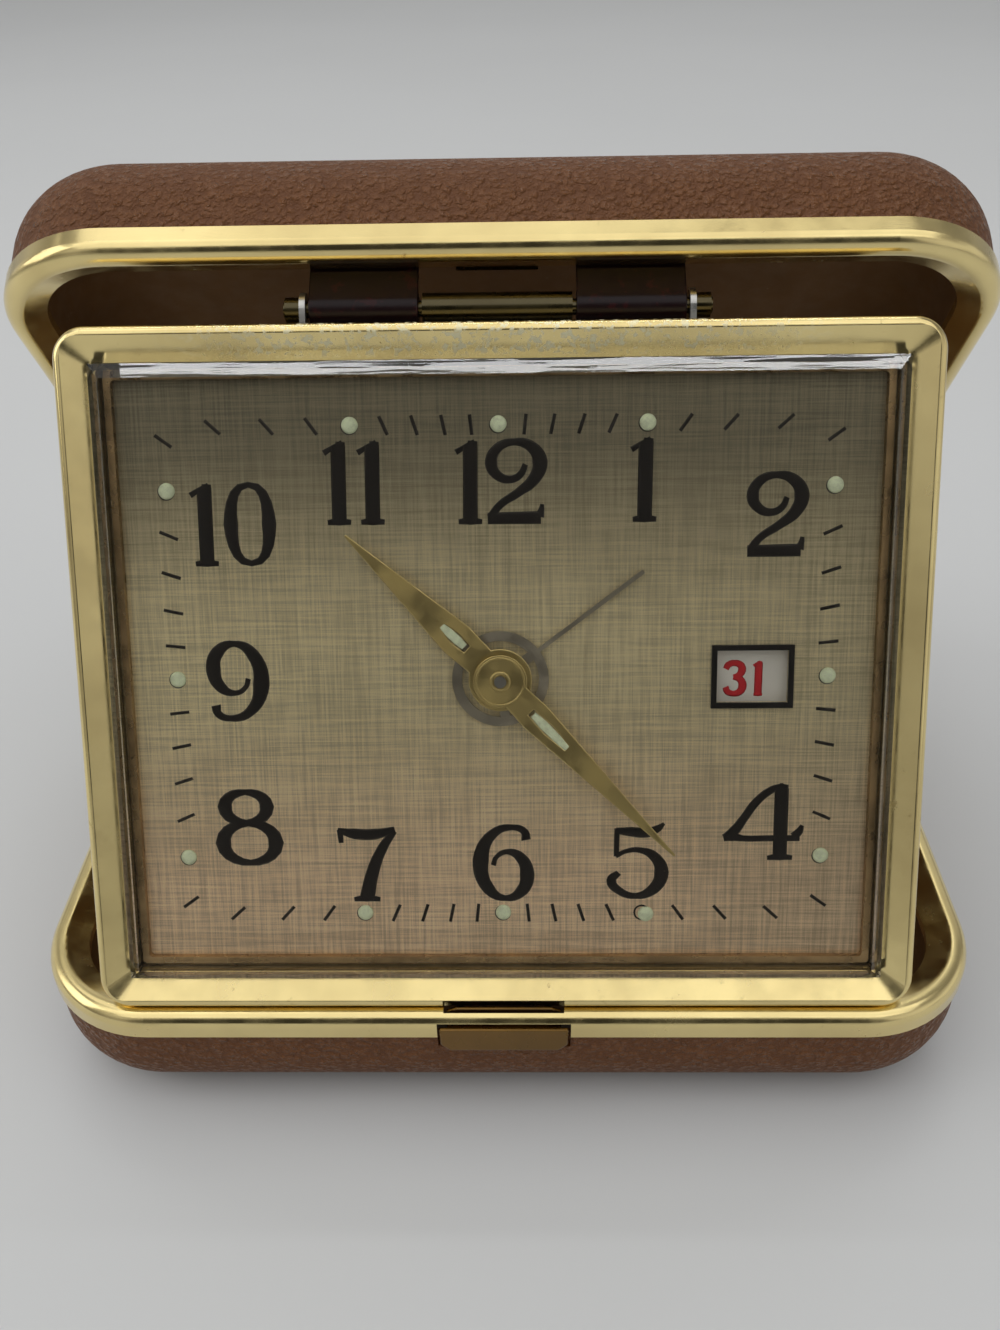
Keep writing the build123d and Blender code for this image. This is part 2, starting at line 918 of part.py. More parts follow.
def alarm_hand():
    """The thin alarm hand with its openwork hub ring."""
    bottom = hand_base + alarm_hand_level
    top = bottom + hand_thickness
    ring_inner = alarm_ring_radius - alarm_ring_width
    half = alarm_hand_width / 2
    shape = tube(alarm_ring_radius, ring_inner, bottom, top)
    shape += tube(alarm_hub_radius, hour_pipe_radius + running_gap, bottom, top)
    for angle in (90, 210, 330):
        spoke = block((alarm_hub_radius - 0.2, ring_inner + 0.2), (-0.5, 0.5), (bottom, top))
        shape += Rot(0, 0, angle) * spoke
    shape += block((-half, half), (ring_inner + half, alarm_hand_length), (bottom, top))
    return Rot(0, 0, alarm_hand_turn) * shape


head("alarm_hand", alarm_hand())

# ================================================================ motion work behind the dial
motion_distance = (cannon_teeth + minute_wheel_teeth) * motion_module / 2
day_distance = (hour_wheel_teeth + day_wheel_teeth) * pipe_module / 2
alarm_distance = (alarm_wheel_teeth + alarm_pinion_teeth) * motion_module / 2
alarm_angle = 225
alarm_arbor = polar(alarm_distance, alarm_angle)
front_plate_front = -front_plate_depth
front_plate_back = front_plate_front - movement_plate_thickness
back_plate_front = front_plate_back - train_space
back_plate_back = back_plate_front - movement_plate_thickness
cover_front = -can_back_depth
cover_back = cover_front - cover_thickness
minute_wheel_low = front_plate_front + 0.3
hour_wheel_low = minute_wheel_low + 2 * wheel_thickness + 0.3
alarm_wheel_low = hour_wheel_low + 2 * wheel_thickness + 0.1
arbor_front = hand_base + minute_hand_level + hand_thickness + 0.3


def centre_arbor():
    """The centre arbor: cannon pinion in front, setting knob's square behind."""
    shape = disc(arbor_radius, cover_back - body_gap, arbor_front)
    shape += disc(
        cannon_radius - running_gap, minute_wheel_low, hand_base + minute_hand_level - 0.3
    )
    shape += gear(
        cannon_teeth,
        motion_module,
        minute_wheel_low,
        minute_wheel_low + wheel_thickness,
        turn=facing_gap(cannon_teeth, 90),
    )
    return shape


def minute_wheel():
    """The minute wheel and its pinion, above the centre."""
    y = motion_distance
    low = minute_wheel_low
    shape = gear(minute_wheel_teeth, motion_module, low, low + wheel_thickness, y=y, turn=-90)
    shape += gear(
        minute_pinion_teeth,
        pipe_module,
        low + wheel_thickness,
        hour_wheel_low + wheel_thickness,
        y=y,
        turn=facing_gap(minute_pinion_teeth, -90),
    )
    return shape - disc(stud_radius + running_gap, low - 1, 0, y=y)


def hour_wheel():
    """The hour wheel and its pipe."""
    low = hour_wheel_low
    shape = gear(hour_wheel_teeth, pipe_module, low, low + wheel_thickness, turn=90)
    shape += disc(hour_pipe_radius - running_gap, low, hand_base + hour_hand_level)
    shape += disc(
        hour_pipe_radius - hour_pipe_step, low, hand_base + hour_hand_level + hand_thickness + 0.1
    )
    return shape - disc(cannon_radius, low - 1, 0)


def alarm_wheel():
    """The alarm wheel and its pipe."""
    low = alarm_wheel_low
    shape = gear(
        alarm_wheel_teeth,
        motion_module,
        low,
        low + wheel_thickness,
        turn=facing_gap(alarm_wheel_teeth, alarm_angle),
    )
    shape += disc(alarm_pipe_radius, low, hand_base + alarm_hand_level)
    return shape - disc(hour_pipe_radius + running_gap, low - 1, 0)


def day_wheel():
    """The day wheel, which turns once in 24 hours, with the finger that moves the date disc."""
    low = hour_wheel_low
    shape = gear(
        day_wheel_teeth,
        pipe_module,
        low,
        low + wheel_thickness,
        x=day_distance,
        turn=facing_gap(day_wheel_teeth, 180),
    )
    finger_x = day_distance - day_finger_reach
    shape += disc(0.4, low, -carrier_depth + 0.5, x=finger_x)
    return shape - disc(stud_radius + running_gap, low - 1, 0, x=day_distance)


def alarm_set_arbor():
    """The alarm-setting arbor with its pinion."""
    x, y = alarm_arbor
    shape = disc(
        alarm_arbor_radius, cover_back - body_gap, alarm_wheel_low + wheel_thickness, x, y
    )
    shape += gear(
        alarm_pinion_teeth,
        motion_module,
        alarm_wheel_low,
        alarm_wheel_low + wheel_thickness,
        x=x,
        y=y,
        turn=alarm_angle + 180,
    )
    return shape


head("centre_arbor", centre_arbor())
head("minute_wheel", minute_wheel())
head("hour_wheel", hour_wheel())
head("alarm_wheel", alarm_wheel())
head("day_wheel", day_wheel())
head("alarm_set_arbor", alarm_set_arbor())

# ================================================================ movement
# Levels are measured back from the front plate's rear face.
level_a = 0.4
level_b = 1.2
level_c = 2.4
level_d = 3.6
level_e = 4.8
balance_level = 1.4
hairspring_level = 3.5


def level(offset):
    """The height of a level in the train space."""
    return front_plate_back - offset


def offset_point(start, distance, angle):
    """A point at a distance and an angle from another."""
    return start[0] + distance * cos(radians(angle)), start[1] + distance * sin(radians(angle))


# Arbors of the going train, placed by their centre distances.
third_distance = (centre_wheel_teeth + train_pinion_teeth) * train_module / 2
fourth_distance = (third_wheel_teeth + train_pinion_teeth) * train_module / 2
escape_distance = (fourth_wheel_teeth + escape_pinion_teeth) * pipe_module / 2
barrel_distance = (barrel_teeth + centre_pinion_teeth) * barrel_module / 2
third_angle = 60
fourth_angle = 160
escape_angle = 190
barrel_angle = -60
balance_angle = 200
third_at = polar(third_distance, third_angle)
fourth_at = offset_point(third_at, fourth_distance, fourth_angle)
escape_at = offset_point(fourth_at, escape_distance, escape_angle)
barrel_at = polar(barrel_distance, barrel_angle)
pallet_at = offset_point(escape_at, pallet_distance, balance_angle)
balance_at = offset_point(escape_at, balance_distance, balance_angle)
hairspring_stud_at = offset_point(balance_at, hairspring_outer, balance_angle)
pillar_x = plate_width / 2 - pillar_margin
pillar_y = plate_height / 2 - pillar_margin
pillar_points = [(x, y) for x in (-pillar_x, pillar_x) for y in (-pillar_y, pillar_y)]
arbor_bores = [
    ((0, 0), arbor_radius),
    (alarm_arbor, alarm_arbor_radius),
    (third_at, wheel_arbor_radius),
    (fourth_at, wheel_arbor_radius),
    (escape_at, wheel_arbor_radius),
    (pallet_at, wheel_arbor_radius),
    (balance_at, wheel_arbor_radius),
    (hammer_at, wheel_arbor_radius),
    (barrel_at, key_arbor_radius),
    (alarm_barrel_at, key_arbor_radius),
]


def wheel_arbor(at, rear=back_plate_back, radius=None):
    """An arbor that runs in both plates."""
    return disc(radius or wheel_arbor_radius, rear, front_plate_front, *at)


def movement_plate(bottom):
    """A plate with a running bore for every arbor."""
    plate = slab(plate_width, plate_height, 3.0, bottom, bottom + movement_plate_thickness)
    for at, radius in arbor_bores:
        plate -= disc(radius + running_gap, bottom - 1, bottom + 3, *at)
    return plate


def front_plate():
    """The front plate with the studs of the minute wheel and the day wheel."""
    plate = movement_plate(front_plate_back)
    minute_stud_top = hour_wheel_low + wheel_thickness
    plate += disc(stud_radius, front_plate_back, minute_stud_top, y=motion_distance)
    return plate + disc(stud_radius, front_plate_back, minute_stud_top, x=day_distance)


def back_plate():
    """The back plate with the hairspring's stud and the bores for the pillars' rear ends."""
    plate = movement_plate(back_plate_back)
    plate += disc(0.35, back_plate_back, level(hairspring_level), *hairspring_stud_at)
    for x, y in pillar_points:
        plate -= disc(pillar_shank_radius, back_plate_back - 1, 0, x, y)
    return plate


def plate_pillars():
    """Spacers in front of the front plate, and pillars whose shanks reach the back cover."""
    pillars = []
    for x, y in pillar_points:
        carrier_back = -carrier_depth - carrier_thickness
        pillars.append(disc(pillar_radius, front_plate_front, carrier_back, x, y))
        pillar = disc(pillar_radius, back_plate_front, front_plate_back, x, y)
        pillars.append(pillar + disc(pillar_shank_radius, cover_front, front_plate_back, x, y))
    return Compound(pillars)


head("front_plate", front_plate())
head("back_plate", back_plate())
head("plate_pillars", plate_pillars())


def centre_wheel():
    """The centre wheel and its pinion, which slip on the centre arbor when the hands are set."""
    top = level(level_a)
    shape = gear(
        centre_wheel_teeth,
        train_module,
        top - wheel_thickness,
        top,
        turn=third_angle,
    )
    pinion_top = level(level_b) + 0.1
    shape += gear(
        centre_pinion_teeth,
        barrel_module,
        pinion_top - pinion_length,
        pinion_top,
        turn=facing_gap(centre_pinion_teeth, barrel_angle),
    )
    shape += disc(wheel_boss_radius, pinion_top - pinion_length, level(train_end_gap))
    return shape - disc(arbor_radius + running_gap, back_plate_back, 0)


def train_wheel(at, wheel, pinion):
    """An arbor with a wheel and a pinion, each given as teeth, module, level and turn."""
    shape = wheel_arbor(at)
    for (teeth, module, offset, turn), length in ((wheel, wheel_thickness), (pinion, pinion_length)):
        top = level(offset) + (length - wheel_thickness) / 2
        shape += gear(teeth, module, top - length, top, at[0], at[1], turn)
    return shape


third_wheel = train_wheel(
    third_at,
    (third_wheel_teeth, train_module, level_c, fourth_angle),
    (
        train_pinion_teeth,
        train_module,
        level_a,
        facing_gap(train_pinion_teeth, third_angle + 180),
    ),
)
fourth_wheel = train_wheel(
    fourth_at,
    (fourth_wheel_teeth, pipe_module, level_d, escape_angle),
    (
        train_pinion_teeth,
        train_module,
        level_c,
        facing_gap(train_pinion_teeth, fourth_angle + 180),
    ),
)


def escape_wheel():
    """The escape wheel with its raked teeth, and its pinion."""
    shape = wheel_arbor(escape_at)
    points = []
    for n in range(escape_teeth):
        angle = n * 360 / escape_teeth
        points.append(polar(escape_radius - 1.1, angle - 7))
        points.append(polar(escape_radius, angle))
        points.append(polar(escape_radius - 1.1, angle + 3))
    top = level(level_e)
    shape += Pos(*escape_at, 0) * prism(points, top - escape_thickness, top)
    pinion_top = level(level_d) + (pinion_length - wheel_thickness) / 2
    return shape + gear(
        escape_pinion_teeth,
        pipe_module,
        pinion_top - pinion_length,
        pinion_top,
        escape_at[0],
        escape_at[1],
        facing_gap(escape_pinion_teeth, escape_angle + 180),
    )


def pallet_lever():
    """The lever with two pallet pins beside the escape wheel and a fork beside the balance."""
    top = level(level_e)
    low = top - escape_thickness
    shape = wheel_arbor(pallet_at)
    for angle in (balance_angle - pallet_spread, balance_angle + pallet_spread):
        pin = offset_point(escape_at, pallet_reach, angle)
        arm_length = hypot(pin[0] - pallet_at[0], pin[1] - pallet_at[1])
        arm_turn = degrees(atan2(pin[1] - pallet_at[1], pin[0] - pallet_at[0]))
        arm = block((0, arm_length), (-0.3, 0.3), (low - 0.5, low))
        shape += Pos(*pallet_at, 0) * Rot(0, 0, arm_turn) * arm
        shape += disc(0.25, low - 0.5, top, *pin)
    tail_length = balance_distance - pallet_distance - roller_radius - 0.8
    tail = block((0, tail_length), (-0.3, 0.3), (low - 0.5, low))
    return shape + Pos(*pallet_at, 0) * Rot(0, 0, balance_angle) * tail


def balance_wheel():
    """The balance: staff, two-armed wheel and impulse roller."""
    top = level(balance_level)
    bottom = top - balance_height
    shape = wheel_arbor(balance_at)
    shape += tube(balance_radius, balance_radius - 1.0, bottom, top, *balance_at)
    arm = block((1 - balance_radius, balance_radius - 1), (-0.45, 0.45), (bottom + 0.3, top - 0.3))
    shape += Pos(*balance_at, 0) * arm
    roller_top = level(level_e)
    return shape + disc(roller_radius, roller_top - 0.6, roller_top, *balance_at)


def spiral_strip(start, end, turns, width, bottom, top, steps_per_turn=20):
    """A flat spiral spring as an upright strip."""
    count = round(turns * steps_per_turn)
    outer = []
    inner = []
    for n in range(count + 1):
        angle = 360 * n / steps_per_turn
        radius = start + (end - start) * n / count
        outer.append(polar(radius, angle))
        inner.append(polar(radius - width, angle))
    return prism(outer + inner[::-1], bottom, top)


def hairspring():
    """The hairspring between the balance staff and its stud."""
    top = level(hairspring_level)
    turns = 5
    strip = spiral_strip(
        wheel_arbor_radius + 0.25,
        hairspring_outer - 0.35,
        turns,
        0.12,
        top - 0.35,
        top,
    )
    return Pos(*balance_at, 0) * Rot(0, 0, balance_angle) * strip


def barrel(teeth, module, turn):
    """A mainspring barrel: toothed rim, drum wall and lid, with a bore for its arbor."""
    pitch_radius = teeth * module / 2
    drum_radius = pitch_radius - 1.4 * module
    top = level(level_b)
    bottom = level(barrel_depth)
    shape = gear(teeth, module, top - wheel_thickness, top, turn=turn)
    shape += disc(drum_radius, bottom, top)
    cavity = disc(drum_radius - barrel_wall, bottom + barrel_wall, top - 2 * wheel_thickness)
    return shape - cavity - disc(key_arbor_radius + running_gap, bottom - 1, top + 1)


def mainspring(teeth, module):
    """The coiled mainspring, whose outer end bears on the drum's wall."""
    drum_radius = teeth * module / 2 - 1.4 * module
    return spiral_strip(
        key_arbor_radius + 0.6,
        drum_radius - barrel_wall,
        4,
        0.3,
        level(barrel_depth) + barrel_wall + running_gap,
        level(level_b) - 2 * wheel_thickness - running_gap,
    )


def winding_key(at, turn):
    """A barrel arbor with its flat-winged key behind the back cover."""
    x, y = at
    post_low = cover_back - body_gap - key_post_height
    shape = disc(key_arbor_radius, post_low, front_plate_front, x, y)
    shape += disc(key_post_radius, post_low, cover_back - body_gap, x, y)
    half = key_wing_length / 2
    wing = block(
        (-half, half),
        (-key_wing_thickness / 2, key_wing_thickness / 2),
        (post_low - key_wing_height, post_low),
    )
    wing = fillet(wing.edges().filter_by(Axis.Y).group_by(Axis.Z)[0], key_wing_height * 0.6)
    return shape + Pos(x, y, 0) * Rot(0, 0, turn) * wing


def setting_knob(at):
    """A fluted setting knob."""
    x, y = at
    top = cover_back - body_gap
    shape = disc(knob_radius, top - knob_height, top, x, y)
    flutes = 18
    for n in range(flutes):
        groove = offset_point(at, knob_radius + 0.15, n * 360 / flutes)
        shape -= disc(0.4, top - knob_height - 1, top - 0.5, *groove)
    return shape


def alarm_hammer():
    """The alarm hammer on its arbor."""
    x, y = hammer_at
    top = level(level_c)
    arm = block((x - 0.6, x + 0.6), (y - hammer_length, y), (top - 0.6, top))
    head_shape = disc(hammer_head_radius, level(level_e), top, x, y - hammer_length)
    return wheel_arbor(hammer_at) + arm + head_shape


def alarm_stop_lever():
    """The lever on the back that silences the alarm, with its post through the cover."""
    x, y = stop_lever_at
    top = cover_back - body_gap
    arm = block((x, x + stop_lever_length), (y - 1.1, y + 1.1), (top - 0.8, top))
    arm += disc(1.8, top - 0.8, top, x, y)
    arm += disc(1.1, top - 1.8, top, x + stop_lever_length, y)
    return arm + disc(0.8, top, back_plate_back - body_gap, x, y)


def back_cover():
    """The back cover, with a hole for each control and each screw."""
    cover = slab(can_width, can_height, can_radius, cover_back, cover_front)
    cover = fillet(cover.faces().sort_by(Axis.Z)[0].edges(), cover_thickness * 0.6)
    holes = [
        ((0, 0), arbor_radius + cover_hole_gap),
        (alarm_arbor, alarm_arbor_radius + cover_hole_gap),
        (barrel_at, key_arbor_radius + cover_hole_gap),
        (alarm_barrel_at, key_arbor_radius + cover_hole_gap),
        (stop_lever_at, 0.8 + cover_hole_gap),
    ]
    for at, radius in holes:
        cover -= disc(radius, cover_back - 1, cover_front + 1, *at)
    for x, y in pillar_points:
        cover -= disc(cover_screw_shank_radius, cover_back - 1, cover_front + 1, x, y)
    return cover


def cover_screws():
    """The slotted screws that hold the cover to the pillars."""
    screws = []
    for x, y in pillar_points:
        low = cover_back - cover_screw_head
        screw = disc(cover_screw_radius, low, cover_back, x, y)
        screw += disc(cover_screw_shank_radius, cover_back, cover_front, x, y)
        slot = block((x - 3, x + 3), (y - 0.2, y + 0.2), (low - 1, low + 0.35))
        screws.append(screw - slot)
    return Compound(screws)


time_barrel = barrel(barrel_teeth, barrel_module, barrel_angle + 180)
alarm_barrel = barrel(alarm_barrel_teeth, train_module, 0)
head("centre_wheel", centre_wheel())
head("third_wheel", third_wheel)
head("fourth_wheel", fourth_wheel)
head("escape_wheel", escape_wheel())
head("pallet_lever", pallet_lever())
head("balance_wheel", balance_wheel())
head("hairspring", hairspring())
head("time_barrel", Pos(*barrel_at, 0) * time_barrel)
head("time_mainspring", Pos(*barrel_at, 0) * mainspring(barrel_teeth, barrel_module))
head("alarm_barrel", Pos(*alarm_barrel_at, 0) * alarm_barrel)
head("alarm_mainspring", Pos(*alarm_barrel_at, 0) * mainspring(alarm_barrel_teeth, train_module))
head("time_key", winding_key(barrel_at, 0))
head("alarm_key", winding_key(alarm_barrel_at, 0))
head("hand_set_knob", setting_knob((0, 0)))
head("alarm_set_knob", setting_knob(alarm_arbor))
head("alarm_hammer", alarm_hammer())
head("alarm_stop_lever", alarm_stop_lever())
head("back_cover", back_cover())
head("cover_screws", cover_screws())

# ================================================================ hand over
os.makedirs("parts", exist_ok=True)
for name, shape in parts.items():
    shape.label = name
    export_step(shape, os.path.join("parts", name + ".step"))
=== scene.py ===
"""Looks, stage and camera for a folding travel alarm clock with a date window."""

import json
import math

import bmesh
import bpy
from bpy.props import FloatProperty, FloatVectorProperty, IntProperty, PointerProperty
from bpy.types import Operator, Panel, PropertyGroup
from mathutils import Matrix, Vector


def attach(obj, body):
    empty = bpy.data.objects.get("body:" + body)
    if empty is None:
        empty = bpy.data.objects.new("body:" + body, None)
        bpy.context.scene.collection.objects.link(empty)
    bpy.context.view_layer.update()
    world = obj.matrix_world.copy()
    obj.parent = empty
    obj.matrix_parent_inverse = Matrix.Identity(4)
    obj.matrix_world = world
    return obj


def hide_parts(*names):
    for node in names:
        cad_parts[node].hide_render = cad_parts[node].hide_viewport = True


bl_info = {
    "name": "Folding Travel Alarm Clock",
    "version": (1, 0, 0),
    "blender": (4, 5, 0),
    "location": "3D View > Sidebar > Travel Clock",
    "description": "Finishes, dial print, stage and camera for a folding travel alarm clock",
    "category": "Object",
}

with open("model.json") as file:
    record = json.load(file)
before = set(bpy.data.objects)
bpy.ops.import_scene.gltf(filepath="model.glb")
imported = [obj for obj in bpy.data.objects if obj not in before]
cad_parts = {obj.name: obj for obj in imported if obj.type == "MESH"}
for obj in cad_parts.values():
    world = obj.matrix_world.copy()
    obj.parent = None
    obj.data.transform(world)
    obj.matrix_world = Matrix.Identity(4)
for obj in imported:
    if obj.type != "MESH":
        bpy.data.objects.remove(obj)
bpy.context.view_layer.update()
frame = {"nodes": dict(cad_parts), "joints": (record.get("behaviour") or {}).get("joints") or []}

MM = 0.001
QUARTER_TURNS = (0, math.pi / 2, math.pi, 1.5 * math.pi)


def head_place():
    """Turns the dial's own millimetres, x right and y up, into the part's metres."""
    spindle = next(joint for joint in frame["joints"] if joint["name"] == "minute_spin")
    front = -Vector(spindle["axis"])
    right = Vector((1, 0, 0))
    up = front.cross(right)
    turn = Matrix((right, up, front)).transposed().to_4x4()
    return Matrix.Translation(spindle["pos_m"]) @ turn @ Matrix.Scale(MM, 4)


HEAD = head_place()
HEAD_TILT = math.atan2(HEAD.col[1][2], HEAD.col[1][1])


def dial_points(node):
    """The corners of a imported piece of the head, in the dial's millimetres."""
    back = HEAD.inverted()
    return [back @ v.co for v in frame["nodes"][node].data.vertices]


def front_of(node):
    """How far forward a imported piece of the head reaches, in the dial's millimetres."""
    return max(point.z for point in dial_points(node))


# ------------------------------------------------------------------ settings


def length(label, note, default):
    """A size in metres that the panel shows."""
    return FloatProperty(
        name=label, description=note, default=default, unit="LENGTH", precision=5
    )


def colour(label, note, default):
    """A colour that the panel shows."""
    return FloatVectorProperty(
        name=label, description=note, default=default, subtype="COLOR", size=3, min=0, max=1
    )


class TRAVELCLOCK_PG_sizes(PropertyGroup):
    """Sizes of the printed and worn detail."""

    numeral_height: length("Numeral height", "Height of the hour numerals", 0.0084)
    date_height: length("Date height", "Height of the figures on the date disc", 0.0037)
    ink: length("Ink thickness", "How far printed ink stands off the dial", 0.00003)
    tick_length: length("Tick length", "Length of a minute stroke", 0.0020)
    tick_width: length("Tick width", "Width of a minute stroke", 0.00034)
    dot_radius: length("Dot radius", "Radius of a luminous dot", 0.00083)
    grain: length("Leather grain", "Width of one pebble of the leather", 0.00075)
    thread: length("Dial thread", "Spacing of the lines in the dial's linen pattern", 0.00021)
    hub_ring: length("Hub ring", "Radius of the raised ring round the minute hand's hub", 0.00240)
    tube_ring: length("Tube ring", "Radius of the riveted tube end in the hub", 0.00088)
    edge: length("Edge rounding", "Width of the rounding on the hands' edges", 0.00008)
    brush: length("Brushing", "Width of a brushed line in polished brass", 0.00008)
    satin: length("Satin", "Width of a brushed line in satin metal", 0.0001)


class TRAVELCLOCK_PG_colours(PropertyGroup):
    """Colours of the finishes."""

    brass: colour("Brass", "Polished brass of the rims and the bezel", (0.86, 0.70, 0.32))
    brass_aged: colour("Aged brass", "Brass where its polish has gone", (0.34, 0.23, 0.08))
    leather: colour("Leather", "Leather on its raised grain", (0.174, 0.059, 0.0085))
    # Painted shade: the leather in the creases between the grain is darker.
    leather_deep: colour("Leather creases", "Leather between its grain", (0.128, 0.042, 0.0075))
    # Painted shade: the dial's darker colour at the top and towards the right.
    dial_top: colour("Dial, top", "Dial colour at the top", (0.26, 0.232, 0.162))
    dial_middle: colour("Dial, middle", "Dial colour round the hands", (0.84, 0.74, 0.48))
    # Painted reflected light: the dial's rosier colour at the foot.
    dial_foot: colour("Dial, foot", "Dial colour at the bottom", (0.94, 0.72, 0.50))
    lume: colour("Luminous paint", "Dots and slots that glow", (0.88, 1.0, 0.74))
    ink: colour("Ink", "Numerals and minute strokes", (0.010, 0.007, 0.006))
    date_ink: colour("Date ink", "Figures on the date disc", (0.62, 0.02, 0.03))
    lining: colour("Lining", "Paper that lines both half cases", (0.22, 0.115, 0.045))
    floor: colour("Floor", "Floor", (0.68, 0.69, 0.69))


class TRAVELCLOCK_PG_stage(PropertyGroup):
    """How the clock is lit."""

    lamp_strength: FloatProperty(
        name="Lamp strength", description="Strength of all lamps together", default=1.0, min=0
    )
    world_strength: FloatProperty(
        name="World strength",
        description="Strength of the light from all round",
        default=0.66,
        min=0,
    )
    steps: IntProperty(
        name="Roundness", description="Steps in the edge of the round floor", default=64, min=12
    )


def sizes():
    """The sizes that the panel holds."""
    return bpy.context.scene.travelclock_sizes


def colours():
    """The colours that the panel holds."""
    return bpy.context.scene.travelclock_colours


def stage():
    """The stage's settings that the panel holds."""
    return bpy.context.scene.travelclock_stage


# ------------------------------------------------------------------ shader nodes

# The Mix node has a row of sockets for each kind of value. These are the ones for colours.
MIX_FIRST, MIX_SECOND, MIX_RESULT = 6, 7, 2


class Nodes:
    """A node tree in the making, and the coordinates that its patterns follow."""

    def __init__(self, tree, coordinates):
        self.tree = tree
        self.place = self.node("ShaderNodeTexCoord").outputs[coordinates]

    def feed(self, socket, value):
        """Links an output into a socket, or writes a plain value there."""
        if isinstance(value, bpy.types.NodeSocket):
            self.tree.links.new(value, socket)
        elif socket.type == "RGBA" and len(value) == 3:
            socket.default_value = (*value, 1.0)
        else:
            socket.default_value = value

    def node(self, kind, sockets=None, **settings):
        """A new node with its settings, and a link or a plain value for each socket named."""
        node = self.tree.nodes.new(kind)
        for name, setting in settings.items():
            setattr(node, name, setting)
        for name, value in (sockets or {}).items():
            self.feed(node.inputs[name], value)
        return node

    def mapped(self, turn, stretch, centre=(0, 0, 0)):
        """The coordinates seen from a tilted piece, stretched along its own axes."""
        sockets = {
            "Vector": self.place, "Location": centre, "Rotation": (turn, 0, 0), "Scale": stretch
        }
        return self.node("ShaderNodeMapping", sockets, vector_type="TEXTURE").outputs["Vector"]

    def on_dial(self, stretch=(1, 1, 1)):
        """The dial's own coordinates in metres: x right, y up from the spindle."""
        return self.mapped(HEAD_TILT, stretch, HEAD.translation)

    def part(self, vector, axis):
        """One coordinate of a vector."""
        return self.node("ShaderNodeSeparateXYZ", {0: vector}).outputs[axis]

    def noise(self, scale, detail=3, roughness=0.6, vector=None, distortion=0.0):
        """Clouds from 0 to 1, about as many to a metre as the scale says."""
        sockets = {
            "Vector": vector or self.place,
            "Scale": scale,
            "Detail": detail,
            "Roughness": roughness,
            "Distortion": distortion,
        }
        return self.node("ShaderNodeTexNoise", sockets).outputs["Fac"]

    def smooth_noise(self, scale, vector=None):
        """Noise with little fine detail, for reliefs."""
        return self.noise(scale, detail=2, roughness=0.5, vector=vector)

    def cells(self, scale, feature, vector):
        """The distance from the middle of the nearest of many scattered cells."""
        sockets = {"Vector": vector, "Scale": scale}
        node = self.node("ShaderNodeTexVoronoi", sockets, feature=feature)
        if feature == "SMOOTH_F1":
            node.inputs["Smoothness"].default_value = 0.35
        return node.outputs["Distance"]

    def span(self, value, low, high, new_low=0.0, new_high=1.0, curve="SMOOTHSTEP"):
        """Stretches part of a value's range over another one."""
        sockets = {
            "Value": value,
            "From Min": low,
            "From Max": high,
            "To Min": new_low,
            "To Max": new_high,
        }
        return self.node("ShaderNodeMapRange", sockets, interpolation_type=curve).outputs["Result"]

    def fall(self, value, low, high, top=1.0):
        """Falls from its top to 0 while a value goes from low to high."""
        return self.span(value, low, high, top, 0.0)

    def patches(self, scale, low, high, detail=4, roughness=0.6):
        """Soft patches, from 0 where the noise is low to 1 where it is high."""
        return self.span(self.noise(scale, detail, roughness), low, high)

    def uneven(self, scale, value, least, most):
        """A value that wanders between two multiples of itself."""
        return self.span(self.noise(scale), 0.3, 0.7, value * least, value * most)

    def brushed(self, width, turn, stretch):
        """Fine lines of the width given, which run across the piece."""
        return self.smooth_noise(1 / width, self.mapped(turn, (stretch, 1, 1)))

    def maths(self, kind, first, second=0.0):
        """One step of arithmetic on two values."""
        return self.node("ShaderNodeMath", {0: first, 1: second}, operation=kind).outputs[0]

    def plus(self, first, second):
        """The sum of two values."""
        return self.maths("ADD", first, second)

    def times(self, first, second):
        """The product of two values."""
        return self.maths("MULTIPLY", first, second)

    def blend(self, share, first, second, kind="MIX"):
        """The first colour, with a share of the second one mixed in."""
        sockets = {0: share, MIX_FIRST: first, MIX_SECOND: second}
        node = self.node("ShaderNodeMix", sockets, data_type="RGBA", blend_type=kind)
        return node.outputs[MIX_RESULT]

    def grey(self, value):
        """The same value for red, green and blue."""
        return self.node("ShaderNodeCombineColor", {0: value, 1: value, 2: value}).outputs[0]

    def bump(self, height, depth, under=None):
        """The normals of a relief as deep as given, in metres, on top of another one's."""
        sockets = {"Height": height, "Distance": depth}
        if under is not None:
            sockets["Normal"] = under
        return self.node("ShaderNodeBump", sockets).outputs["Normal"]


class Finish(Nodes):
    """A material in the making, with its main shader."""

    def __init__(self, name, base, roughness, metallic=0.0):
        self.material = bpy.data.materials.new(name)
        self.material.use_nodes = True
        self.material.diffuse_color = (*base, 1.0)
        super().__init__(self.material.node_tree, "Object")
        self.surface({"Base Color": base, "Roughness": roughness, "Metallic": metallic})

    def surface(self, sockets):
        """Feeds the main shader's sockets, and hands the material over."""
        shader = self.tree.nodes["Principled BSDF"]
        for name, value in sockets.items():
            self.feed(shader.inputs[name], value)
        return self.material


def darker(tint, share):
    """A colour brought down to a share of itself."""
    return tuple(share * channel for channel in tint)


# ------------------------------------------------------------------ finishes

# Noise scales are in clouds to a metre: 1000 gives clouds about a millimetre wide. Depths of
# reliefs are in metres. So are the places below, which are measured from the spindle, and
# between whose two numbers a change begins and ends.
# Where the bezel's pitting with its painted highlight lies, up and across.
PITTED_HIGHLIGHT_UP = (0.0315, 0.0325)
PITTED_HIGHLIGHT_ACROSS = (0.014, 0.036)
